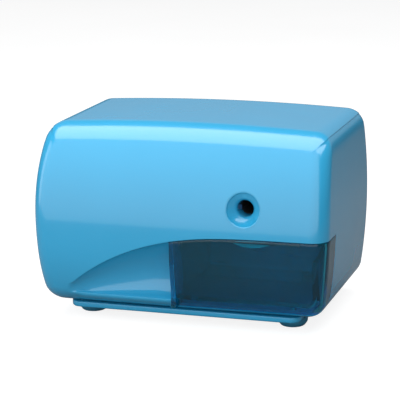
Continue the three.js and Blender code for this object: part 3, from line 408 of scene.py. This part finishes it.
def rounded(profile, radius, steps=4):
    """A profile with its inner corners rounded by arcs of about that radius."""
    result = [profile[0]]
    for before, corner, after in zip(profile, profile[1:], profile[2:]):
        a, c, b = (np.array(p, float) for p in (before, corner, after))
        reach = min(radius, np.linalg.norm(a - c) / 2.1, np.linalg.norm(b - c) / 2.1)
        start = c + (a - c) / np.linalg.norm(a - c) * reach
        end = c + (b - c) / np.linalg.norm(b - c) * reach
        for k in range(steps + 1):
            t = k / steps
            result.append(tuple((1 - t) ** 2 * start + 2 * t * (1 - t) * c + t * t * end))
    result.append(profile[-1])
    return result


def rounded_plan(x0, x1, y0, y1, radius, steps=10):
    """The outline of a rounded rectangle, anticlockwise."""
    points = []
    for cx, cy, turn in (
        (x1 - radius, y0 + radius, -0.5),
        (x1 - radius, y1 - radius, 0.0),
        (x0 + radius, y1 - radius, 0.5),
        (x0 + radius, y0 + radius, 1.0),
    ):
        for k in range(steps + 1):
            a = math.pi * (turn + 0.5 * k / steps)
            points.append((cx + radius * math.cos(a), cy + radius * math.sin(a)))
    return points


def prism_y(name, outline, y0, y1, sharp=35):
    """An outline of (x, z) points carried from y0 to y1."""
    return loft(name, [[(x, y, z) for x, z in outline] for y in (y0, y1)], sharp)


def prism_z(name, outline, z0, z1, sharp=35):
    """An outline of (x, y) points carried from z0 to z1."""
    return loft(name, [[(x, y, z) for x, y in outline] for z in (z0, z1)], sharp)


def rod(name, centre, radius, y0, y1, sides=48):
    """A round bar along Y, centred on an (x, z) point."""
    x, z = centre
    return lathe(name, [(0, y0), (radius, y0), (radius, y1), (0, y1)], (x, 0, z), "Y", sides)


# ------------------------------------------------------------------ the housing's outer form
def top_corner_centre():
    """The centre of the right top corner's arc, which touches the side's arc and the top's."""
    rs = SIDE_RADIUS - CORNER_RADIUS
    rt = TOP_RADIUS - CORNER_RADIUS
    dx, dz = -SIDE_X, TOP_Z - SIDE_MIDDLE_Z
    d = math.hypot(dx, dz)
    along = (rs * rs - rt * rt + d * d) / (2 * d)
    off = math.sqrt(rs * rs - along * along)
    return SIDE_X + (dx * along - dz * off) / d, SIDE_MIDDLE_Z + (dz * along + dx * off) / d


TOP_CORNER = top_corner_centre()
LOW_CORNER_Z = FLOOR_Z + CORNER_RADIUS
LOW_CORNER_REACH = math.sqrt((SIDE_RADIUS - CORNER_RADIUS) ** 2 - (LOW_CORNER_Z - SIDE_MIDDLE_Z) ** 2)
LOW_CORNER = (SIDE_X + LOW_CORNER_REACH, LOW_CORNER_Z)


def front_y(x, z):
    """How far back the front lies, before its fillet."""
    swell = abs((z - BELLY_Z) / SWELL["reach"]) ** SWELL["power"]
    return -DEPTH / 2 + SWELL["rise"] * swell + SWELL["sides"] * (x / (WIDTH / 2)) ** 2


def arch_z(x):
    """The upper edge of the scoop and of the drawer's front."""
    return ARCH["top"] - ARCH["fall"] * (max(0.0, ARCH["right"] - x) / ARCH["run"]) ** 3


def scoop_depth(x, z, grow):
    """How deep the scoop is at a place on the front; grow gives the scoop's inner wall."""
    share = (x - SCOOP["left"]) / (DRAWER["left"] - GAP - SCOOP["left"])
    if share <= 0:
        return 0.0
    fade = min(1.0, share / 0.12)
    lip = (SCOOP["lip"] + grow * 0.2) * fade
    edge = SCOOP["edge"] * fade
    sill = SCOOP["sill"] - grow
    roof = max(arch_z(x), SCOOP["sill"] + 2) + grow
    deep = max(SCOOP["depth"] * min(1.0, share * 1.25) ** 0.7, lip) + grow
    if z <= sill - lip or z >= roof + edge:
        return 0.0
    if z < sill:
        return lip - math.sqrt(max(lip * lip - (z - sill + lip) ** 2, 0))
    if z > roof:
        return edge - math.sqrt(max(edge * edge - (roof + edge - z) ** 2, 0))
    t = (z - sill) / (roof - sill)
    base = lip + (edge - lip) * t
    return base + (deep - base) * abs(math.sin(math.pi * t ** 0.8)) ** 0.62


CLUSTER = [0.0, 0.18, 0.38, 0.6, 0.83, 1.06]  # grid lines that resolve a corner of the inner outline
ABOVE_ARCH = [0.05, 0.14, 0.28, 0.42, 0.52, 1.1, 2.0, 3.2]  # rows that round the scoop's upper edge
ROWS_BELOW = 30
ROWS_ABOVE = 34
COLUMNS = 116
CORE_RADIUS = CORNER_RADIUS - FRONT_FILLET  # of the corner inside the fillet
FILLET_STEPS = 18
WALL_SHARES = (0.05, 0.12, 0.22, 0.35, 0.5, 0.65, 0.8, 0.93, 1.0)  # how far back each ring of the walls lies


def side_point(z):
    """The right end of the inner outline at a height, and its outward direction."""
    for (cx, cz), sign in ((LOW_CORNER, -1), (TOP_CORNER, 1)):
        if (z - cz) * sign > 0:
            dz = min(abs(z - cz), CORE_RADIUS * math.sin(math.radians(45)))
            x = cx + math.sqrt(CORE_RADIUS**2 - dz * dz)
            return x, ((x - cx) / CORE_RADIUS, sign * dz / CORE_RADIUS)
    radius = SIDE_RADIUS - FRONT_FILLET
    x = SIDE_X + math.sqrt(radius**2 - (z - SIDE_MIDDLE_Z) ** 2)
    return x, ((x - SIDE_X) / radius, (z - SIDE_MIDDLE_Z) / radius)


def level_point(x, top):
    """The height of the inner outline's bottom or top at x, and its outward direction."""
    cx, cz = TOP_CORNER if top else LOW_CORNER
    sign = 1 if top else -1
    if abs(x) > cx:
        dx = min(abs(x) - cx, CORE_RADIUS * math.sin(math.radians(45)))
        dz = math.sqrt(CORE_RADIUS**2 - dx * dx)
        return cz + sign * dz, (math.copysign(dx, x) / CORE_RADIUS, sign * dz / CORE_RADIUS)
    if top:
        radius = TOP_RADIUS - FRONT_FILLET
        z = TOP_Z + math.sqrt(radius**2 - x * x)
        return z, (x / radius, (z - TOP_Z) / radius)
    return FLOOR_Z + FRONT_FILLET, (0.0, -1.0)


def face_grid(grow, has_scoop):
    """Rows of (x, z) over the front inside its fillet, with one row along the arch."""
    diagonal = CORE_RADIUS * math.sin(math.radians(45))
    half = LOW_CORNER[0] + diagonal
    inner = half - CLUSTER[-1]
    middle = [-inner + 2 * inner * k / COLUMNS for k in range(COLUMNS + 1)]
    columns = [-half + c for c in CLUSTER[:-1]] + middle + [half - c for c in CLUSTER[-2::-1]]
    grid = []
    for x in columns:
        low, high = level_point(x, False)[0], level_point(x, True)[0]
        arch = max(arch_z(x), SCOOP["sill"] + 5.5) + (grow if has_scoop else 0)
        low_rows = [low + c for c in CLUSTER]
        span = arch - low_rows[-1]
        low_rows += [arch - span * (1 - k / ROWS_BELOW) ** 1.5 for k in range(1, ROWS_BELOW + 1)]
        high_rows = [arch + c for c in ABOVE_ARCH]
        start = high_rows[-1]
        last = high - CLUSTER[-1]
        high_rows += [start + (last - start) * k / ROWS_ABOVE for k in range(1, ROWS_ABOVE + 1)]
        high_rows += [high - c for c in CLUSTER[-2::-1]]
        grid.append([(x, z) for z in low_rows + high_rows])
    for column in grid:
        for j, (x, z) in enumerate(column):
            bulge = side_point(z)[0] - half
            column[j] = (x + math.copysign(abs(x / half) ** 3, x) * bulge, z)
    return grid


def perimeter(grid):
    """The grid's edge: its places (i, j), anticlockwise from the lower left, and their directions."""
    top = len(grid[0]) - 1
    places = border_places(len(grid), len(grid[0]))
    outward = []
    for i, j in places:
        x, z = grid[i][j]
        if j in (0, top):
            outward.append(level_point(x, j == top)[1])
        else:
            dx, dz = side_point(z)[1]
            outward.append((math.copysign(dx, x), dz))
    return places, outward


def mouth_warp(x, z):
    """Turns the square grid lines round the pencil mouth into circles near it."""
    dx, dz = x - PENCIL["x"], z - PENCIL["z"]
    square, round_off = max(abs(dx), abs(dz)), math.hypot(dx, dz)
    inner, outer = 7.4, 19.0
    if square >= outer or square < 1e-6:
        return x, z
    weight = min(1.0, (outer - square) / (outer - inner))
    radius = (1 - weight) * round_off + weight * square * (PENCIL["mouth"] + 1.0) / inner
    return PENCIL["x"] + dx / round_off * radius, PENCIL["z"] + dz / round_off * radius


def sheet_points(w, has_scoop):
    """One skin of the front, taken in by w: the face grid, then the fillet's and the walls' rings."""
    grow = w * 0.92
    grid = face_grid(grow, has_scoop)
    places, outward = perimeter(grid)

    def lifted(x, z, sink=0.0):
        dent = scoop_depth(x, z, grow) if has_scoop and x <= DRAWER["left"] - GAP + 1.5 else 0.0
        return (x, front_y(x, z) + w + sink + dent, z)

    points = []
    for column in grid:
        for x, z in column:
            points.append(lifted(*mouth_warp(x, z)))
    faces = grid_faces(len(grid), len(grid[0]))
    ring = [i * len(grid[0]) + j for i, j in places]
    core = [grid[i][j] for i, j in places]
    fillet = FRONT_FILLET - w
    levels = []
    for k in range(1, FILLET_STEPS + 1):
        a = math.pi / 2 * (1 - k / FILLET_STEPS)
        levels.append((w + fillet * (1 - math.cos(a)), fillet * (1 - math.sin(a)), 0.0))
    levels += [(w, fillet, share) for share in WALL_SHARES]
    for inset, sink, back in levels:
        following = [len(points) + k for k in range(len(ring))]
        for (x, z), (dx, dz) in zip(core, outward):
            px, y, pz = lifted(x + dx * (FRONT_FILLET - inset), z + dz * (FRONT_FILLET - inset), sink)
            points.append((px, y + (SPLIT_Y - y) * back, pz))
        faces += band(ring, following)
        ring = following
    return points, faces


def two_skins(name, outer, inner):
    """A closed wall between two skins over the same faces."""
    points, faces = outer
    offset = len(points)
    used = set()
    for face in faces:
        used.update(zip(face, face[1:] + face[:1]))
    rims = [(b, a, a + offset, b + offset) for a, b in used if (b, a) not in used]
    whole = faces + [tuple(v + offset for v in reversed(face)) for face in faces] + rims
    return mesh_object(name, points + inner[0], whole)


def mouth_cone():
    """The pencil mouth's rim, funnel and bore, as a thick ring that fits the hole in the skins."""
    outer = PENCIL["mouth"] + 1.0
    x0, z0 = PENCIL["x"], PENCIL["z"]
    roll = 1.0  # radius of the rim's rounded edge
    cone_depth = PENCIL["cone_end"] + DEPTH / 2
    bore_depth = 12.2
    funnel = [
        (outer - roll, roll),
        (PENCIL["hole"] + 0.9, cone_depth - 1.2),
        (PENCIL["hole"], cone_depth),
        (PENCIL["hole"], 9.0),
    ]
    sides = 96
    rings = []  # radius, depth, and whether the depth is from the curved skin
    for k in range(7):
        a = math.pi / 2 * k / 6
        rings.append((outer - roll * math.sin(a), roll * (1 - math.cos(a)), True))
    rings += [(radius, depth, False) for radius, depth in rounded(funnel, 0.7)[1:]]
    rings += [(PENCIL["hole"], bore_depth, False), (PENCIL["hole"] + WALL, bore_depth, False)]
    rings += [(outer, 5.5, False), (outer, 1.0, True)]
    points = []
    for radius, depth, follows in rings:
        ring = []
        for i in range(sides):
            a = 2 * math.pi * i / sides
            x, z = x0 + radius * math.cos(a), z0 + radius * math.sin(a)
            skin = front_y(x, z) if follows else front_y(x0, z0)
            ring.append((x, skin + depth, z))
        points.append(ring)
    return hoop("pencil_mouth", points)


def panel_point(w, across, z):
    """A place on the skin right of the drawer's left edge; across runs 0 to 1 over the front,
    1 to 2 round the fillet and 2 to 3 back along the side."""
    deepest = min(FRONT_FILLET, max(z - FLOOR_Z, w + 0.01))

    def x_at(inset):
        dz = LOW_CORNER[1] - z
        if dz > 0:
            return LOW_CORNER[0] + math.sqrt(max((CORNER_RADIUS - inset) ** 2 - dz * dz, 0))
        return SIDE_X + math.sqrt((SIDE_RADIUS - inset) ** 2 - (z - SIDE_MIDDLE_Z) ** 2)

    fillet = FRONT_FILLET - w

    def sink(inset):
        c = 1 - (inset - w) / fillet
        return fillet * (1 - math.sqrt(max(1 - c * c, 0)))

    if across <= 1:
        x = DRAWER["left"] + (x_at(deepest) - DRAWER["left"]) * across
        return x, front_y(x, z) + w + sink(deepest), z
    if across <= 2:
        start = math.acos(max(-1.0, min(1.0, 1 - (deepest - w) / fillet)))
        a = start * (2 - across)
        inset = w + fillet * (1 - math.cos(a))
        x = x_at(inset)
        return x, front_y(x, z) + w + fillet * (1 - math.sin(a)), z
    x = x_at(w)
    begin = front_y(x, z) + w + fillet
    return x, begin + (DRAWER["wrap_end"] - begin) * (across - 2), z


def panel_solid(name, w0, w1, margin, edge):
    """The drawer's front between two depths of skin, its edges moved out by margin and rounded."""
    across = [k / 44 for k in range(45)]
    across += [1 + k / 12 for k in range(1, 13)]
    across += [2 + k / 8 for k in range(1, 9)]
    rows = 40

    def sheet(w, shrink):
        points = []
        for a in across:
            column = []
            nominal = panel_point(w, a, ARCH["top"])[0]
            low = DRAWER["bottom"] - margin + shrink
            high = arch_z(nominal) + margin - shrink
            for j in range(rows + 1):
                x, y, z = panel_point(w, a, low + (high - low) * j / rows)
                column.append([x, y, z])
            points.append(column)
        for p in points[0]:
            p[0] += shrink - margin
            p[1] = front_y(p[0], p[2]) + (p[1] - front_y(DRAWER["left"], p[2]))
        for p in points[-1]:
            p[1] += margin - shrink
        return points

    slight = edge * 0.3
    layers = [(w0, edge), (w0 + slight, slight), (w0 + edge, 0)]
    layers += [(w1 - edge, 0), (w1 - slight, slight), (w1, edge)]
    sheets = [sheet(w, shrink) for w, shrink in layers]
    nx, nz = len(across), rows + 1
    points = [tuple(p) for column in sheets[0] for p in column]
    faces = grid_faces(nx, nz)
    border = border_places(nx, nz)
    ring = [i * nz + j for i, j in border]
    for layer in sheets[1:-1]:
        following = [len(points) + k for k in range(len(border))]
        points += [tuple(layer[i][j]) for i, j in border]
        faces += band(ring, following)
        ring = following
    start = len(points)
    points += [tuple(p) for column in sheets[-1] for p in column]
    faces += band(ring, [start + i * nz + j for i, j in border])
    faces += [tuple(reversed(face)) for face in grid_faces(nx, nz, start)]
    return mesh_object(name, points, faces)


# ------------------------------------------------------------------ pieces
def front_housing():
    """The housing: two skins, less the pencil mouth's hole, the drawer's space and the floor's opening."""
    housing = two_skins("front_housing_skin", sheet_points(0.0, True), sheet_points(WALL, True))
    hole = PENCIL["mouth"] + 1.0
    boolean(housing, rod("hole", (PENCIL["x"], PENCIL["z"]), hole - 0.02, -60, -40, 96))
    boolean(housing, panel_solid("panel_space", -1.5, WALL + 1.2, GAP, 0.0))
    half_x, front = FLOOR_OPENING["half_x"], FLOOR_OPENING["front"]
    opening = rounded_plan(-half_x, half_x, front, SPLIT_Y + 10, FLOOR_OPENING["corner"])
    boolean(housing, prism_z("floor_opening", opening, 0, FLOOR_Z + WALL + 1))
    finish_piece(housing, "housing", "housing_blue", "front_housing")


def rear_cover():
    """The rear cover: a dished shell with vents, the gland's seat and four screw wells."""
    grid = face_grid(0, False)
    places, outward = perimeter(grid)
    core = [grid[i][j] for i, j in places]

    def ring(inset, y):
        out = FRONT_FILLET - inset
        return [(x + dx * out, y, z + dz * out) for (x, z), (dx, dz) in zip(core, outward)]

    def skin(w):
        back = BACK_FILLET - w
        rings = [ring(w, SPLIT_Y + GAP)]
        for k in range(11):
            a = math.pi / 2 * k / 10
            rings.append(ring(w + back * (1 - math.cos(a)), DEPTH / 2 - w - back * (1 - math.sin(a))))
        return rings

    cover = loft("rear_cover_skin", list(reversed(skin(WALL))) + skin(0.0))
    inside, beyond = 40, 60  # ahead of the cover and behind it
    for i in range(VENTS["count"]):
        x = VENTS["first"] + VENTS["pitch"] * i
        slot = rounded_plan(x, x + VENTS["width"], VENTS["low"], VENTS["high"], VENTS["width"] / 2 - 0.02, 8)
        boolean(cover, prism_y("vent", slot, inside, beyond))
    for sx in (-1, 1):
        for z in REAR_SCREW["z"]:
            centre = (sx * REAR_SCREW["x"], z)
            boolean(cover, rod("boss", centre, REAR_SCREW["boss"], SPLIT_Y + 1.1, 51), "UNION")
            boolean(cover, rod("well", centre, REAR_SCREW["well"], REAR_SCREW["seat"], beyond))
            boolean(cover, rod("way", centre, REAR_SCREW["way"], inside, beyond))
    centre = (GLAND["x"], GLAND["z"])
    boolean(cover, rod("gland_pad", centre, GLAND["pad"], 47, 51), "UNION")
    boolean(cover, rod("gland_seat", centre, GLAND["seat"], 50.3, beyond))
    boolean(cover, rod("gland_way", centre, GLAND["way"], inside, beyond))
    finish_piece(cover, "housing", "housing_blue", "rear_cover")


def base_plate():
    """The base plate with a rounded lower edge, screw wells and holes for the feet's stems."""
    levels = [(1.1, 0.0), (0.5, 0.12), (0.12, 0.5), (0.0, 1.1), (0.0, 2.7), (0.08, 2.92), (0.3, 3.0)]
    rings = []
    for inset, up in levels:
        half_x = BASE["half_x"] - inset
        front, back = BASE["front"] + inset, BASE["back"] - inset
        plan = rounded_plan(-half_x, half_x, front, back, BASE["corner"] - inset)
        rings.append([(x, y, BASE["bottom"] + up) for x, y in plan])
    plate = loft("base_plate_moulding", rings)
    above = 20
    wide, narrow, seat = BASE_SCREW["well"], BASE_SCREW["way"], BASE_SCREW["seat"]
    well = [(0, 0), (wide, 0), (wide, seat), (narrow, seat), (narrow, above), (0, above)]
    stem_hole = [(0, 0), (STEM_HOLE, 0), (STEM_HOLE, above), (0, above)]
    for sx in (-1, 1):
        for y in BASE_SCREW["y"]:
            boolean(plate, lathe("well", well, (sx * BASE_SCREW["x"], y, 0), "Z", 40))
        for y in (FEET["front"], FEET["back"]):
            boolean(plate, lathe("stem_hole", stem_hole, (sx * FEET["x"], y, 0), "Z", 40))
    finish_piece(plate, "housing", "housing_blue", "base_plate")


def feet():
    """Four rubber feet, each a cup with a stem that goes up through the base plate."""
    cup = [(0, 1.2), (3.6, 1.2), (4.6, 0), (6.2, 0), (7.9, 2.2), (8.1, 4.5), (7.5, 5.1)]
    cup += [(2.7, 5.1), (2.7, 8.2), (0, 8.2)]
    for side, sx in (("left", -1), ("right", 1)):
        for end, y in (("front", FEET["front"]), ("rear", FEET["back"])):
            node = f"foot_{end}_{side}"
            foot = lathe(f"{node}_rubber", rounded(cup, 0.9), (sx * FEET["x"], y, 0))
            finish_piece(foot, "housing", "foot_rubber", node)


def tray_outline(inset):
    """The tub's outline of (x, z): square on the left, with a round lower right corner."""
    x0, x1 = DRAWER["left"] + inset, TRAY["right"] - inset
    z0, r = TRAY["bottom"] + inset, TRAY["corner"] - inset
    points = [(x0, z0)]
    for k in range(13):
        a = -math.pi / 2 * (1 - k / 12)
        points.append((x1 - r + r * math.cos(a), z0 + r + r * math.sin(a)))
    return points


def drawer():
    """The drawer: its wrapped front, the tub behind it and the cheek that closes its left end."""
    front = panel_solid("shavings_drawer_moulding", 0.0, DRAWER["thick"], 0.0, DRAWER["edge"])
    start = -47.5  # inside the front's thickness
    left, right, high, wall = DRAWER["left"], TRAY["right"], TRAY["top"], DRAWER["wall"]
    tub = prism_y("tub", tray_outline(0) + [(right, high), (left, high)], start, TRAY["back"])
    hollow = tray_outline(wall) + [(right - wall, high + 9), (left + wall, high + 9)]
    boolean(tub, prism_y("hollow", hollow, -60, TRAY["back"] - wall))
    boolean(front, tub, "UNION")
    low, top = DRAWER["bottom"] + 0.3, arch_z(left) - 0.4
    cheek = [(left, low), (left + wall, low), (left + wall, top), (left, top)]
    boolean(front, prism_y("cheek", cheek, start - 2.0, -38), "UNION")
    finish_piece(front, "drawer", "drawer_clear", "shavings_drawer")


def mouth():
    """The pencil mouth, on the housing. No CAD node stands for it alone."""
    finish_piece(mouth_cone(), "housing", "housing_blue")


def gland():
    """The cord gland, a flanged ring as deep as its CAD node."""
    low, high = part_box("cord_gland")
    y0, y1 = low.y / MM, high.y / MM
    profile = [(3.4, y0), (4.8, y0), (4.8, 50.6), (7.5, 50.6), (7.5, y1 - 0.2), (6.2, y1), (3.4, y1)]
    points = rounded(profile, 0.5)
    sides = 64
    rings = []
    for radius, y in points:
        ring = []
        for i in range(sides):
            a = 2 * math.pi * i / sides
            ring.append((GLAND["x"] + radius * math.cos(a), y, GLAND["z"] + radius * math.sin(a)))
        rings.append(ring)
    finish_piece(hoop("cord_gland_ring", rings), "housing", "black_plastic", "cord_gland")


def screw(node, axis):
    """A pan-head screw with a cross recess; it fills the CAD screw's box along Y or Z."""
    low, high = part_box(node)
    low, high = low / MM, high / MM
    centre = (low + high) / 2
    radius = (high.x - low.x) / 2
    length = (high.y - low.y) if axis == "Y" else (high.z - low.z)
    head = min(2.2, length * 0.3)
    profile = [(0, 0), (radius * 0.55, 0.12), (radius * 0.88, head * 0.45), (radius, head), (1.3, head)]
    step = 0.55
    place = head + 0.5
    while place < length - 1.2:
        profile += [(1.2, place), (1.45, place + step * 0.5)]
        place += step
    profile += [(1.2, length - 1.0), (0, length)]
    made = lathe(f"{node}_thread", profile, (0, 0, 0), "Z", 28, 30)
    for turn in (0, 90):
        arm = prism_z("arm", rounded_plan(-radius * 0.55, radius * 0.55, -0.32, 0.32, 0.1, 3), -1, 1.1)
        arm.data.transform(Matrix.Rotation(math.radians(turn), 4, "Z"))
        boolean(made, arm, sharp=30)
    if axis == "Y":  # the head is towards +Y
        turn = Matrix.Rotation(math.radians(90), 4, "X")
        made.data.transform(turn)
        made.data.transform(Matrix.Translation(Vector((centre.x, high.y, centre.z)) * MM))
    else:
        made.data.transform(Matrix.Translation(Vector((centre.x, centre.y, low.z)) * MM))
    finish_piece(made, "housing", "screw_steel", node)


def dress_cad_nodes():
    """Gives every CAD node that still shows its slot's material, but the start feeler a dark navy painted
    shade, and smooth round faces.
    """
    slots = {row["node"]: row["material_slot"] for row in frame["record"]["subparts"]}
    for name, node in frame["nodes"].items():
        slot = slots[name]
        node.data.materials.clear()
        # the start feeler gets a dark navy painted shade instead of its white nylon
        node.data.materials.append(FEELER_PAINTED_SHADE if name == "start_feeler" else MATERIALS[slot])
        smooth(node, 33)


# ------------------------------------------------------------------ camera, light and floor
def camera():
    """The photograph's view: a long lens from the right and a little above."""
    azimuth, elevation, roll = (math.radians(a) for a in (17.57, 13.19, -0.74))
    target = Vector((-2.13, 0.0, 58.28)) * MM
    distance = 919.6 * MM
    back = Vector(
        (
            math.sin(azimuth) * math.cos(elevation),
            -math.cos(azimuth) * math.cos(elevation),
            math.sin(elevation),
        )
    )
    right = Vector((math.cos(azimuth), math.sin(azimuth), 0))
    up = back.cross(right)
    turned_right = right * math.cos(roll) + up * math.sin(roll)
    turned_up = up * math.cos(roll) - right * math.sin(roll)
    data = bpy.data.cameras.new("camera")
    data.lens = 152.96
    data.sensor_width = 36
    data.clip_start = 0.01
    data.clip_end = 20
    made = bpy.data.objects.new("camera", data)
    bpy.context.scene.collection.objects.link(made)
    basis = Matrix((turned_right, turned_up, back)).transposed().to_4x4()
    basis.translation = target + back * distance
    made.matrix_world = basis
    bpy.context.scene.camera = made


def softbox(name, place, aim, width, height, radiance):
    """An area light whose brightness is given as it would be seen in a mirror."""
    data = bpy.data.lights.new(name, "AREA")
    data.shape = "RECTANGLE"
    data.size = width
    data.size_y = height
    data.energy = radiance * math.pi * width * height
    made = bpy.data.objects.new(name, data)
    bpy.context.scene.collection.objects.link(made)
    made.location = place
    direction = Vector(aim) - Vector(place)
    made.rotation_mode = "QUATERNION"
    made.rotation_quaternion = direction.to_track_quat("-Z", "Y")


def studio():
    """Soft boxes ahead, above, to the left and behind, and an even grey world that shows as white."""
    softbox("front_card", (-0.08, -0.3, 0.405), (-0.08, 0.0, 0.405), 0.9, 0.79, 1.7)
    softbox("overhead", (0.0, 0.05, 0.9), (0.0, 0.055, 0.05), 1.3, 0.7, 4.1)
    softbox("rear_card", (0.0, 1.2, 0.5), (0.0, 0.0, 0.1), 2.0, 0.6, 0.18)
    softbox("left_strip", (-0.75, -0.25, 0.3), (0, 0, 0.06), 0.25, 0.7, 2.6)
    world = bpy.data.worlds.new("studio")
    world.use_nodes = True
    tree = world.node_tree
    background = tree.nodes["Background"]
    background.inputs["Color"].default_value = (0.2, 0.205, 0.21, 1)
    bright = tree.nodes.new("ShaderNodeBackground")
    bright.inputs["Color"].default_value = (1, 1, 1, 1)
    usual, special = background.outputs["Background"], bright.outputs["Background"]
    by_ray(tree, "Is Camera Ray", usual, special, "World Output")
    bpy.context.scene.world = world
    bpy.context.scene.view_settings.view_transform = "Standard"


def floor():
    """A pale sweep that the object stands on. It shows as near white but lights the object as grey."""
    half = 2.5
    steps = 24
    rings = []
    for k in range(steps + 1):
        y = -half + 2 * half * k / steps
        rise = max(0.0, y - 1.6) ** 2 * 0.5
        rings.append([(-half / MM, y / MM, rise / MM), (half / MM, y / MM, rise / MM)])
    made = mesh_object("floor", [p for r in rings for p in r], stitch(rings, closed=False))
    material, tree, shader = principled("floor_paper", (0.9, 0.9, 0.9), 0.75)
    tint(tree, noise(tree, 4), shader.inputs["Base Color"], (0.18, 0.18, 0.18), (0.21, 0.21, 0.21))
    glow = tree.nodes.new("ShaderNodeEmission")
    glow.inputs["Strength"].default_value = 0.86
    total = tree.nodes.new("ShaderNodeAddShader")
    tree.links.new(shader.outputs["BSDF"], total.inputs[0])
    tree.links.new(glow.outputs["Emission"], total.inputs[1])
    usual, special = shader.outputs["BSDF"], total.outputs["Shader"]
    by_ray(tree, "Is Camera Ray", usual, special, "Material Output")
    made.data.materials.append(material)


camera()
studio()
floor()
front_housing()
rear_cover()
base_plate()
feet()
drawer()
mouth()
gland()
for number in range(1, 5):
    screw(f"rear_screw_{number}", "Y")
    screw(f"base_screw_{number}", "Z")
dress_cad_nodes()
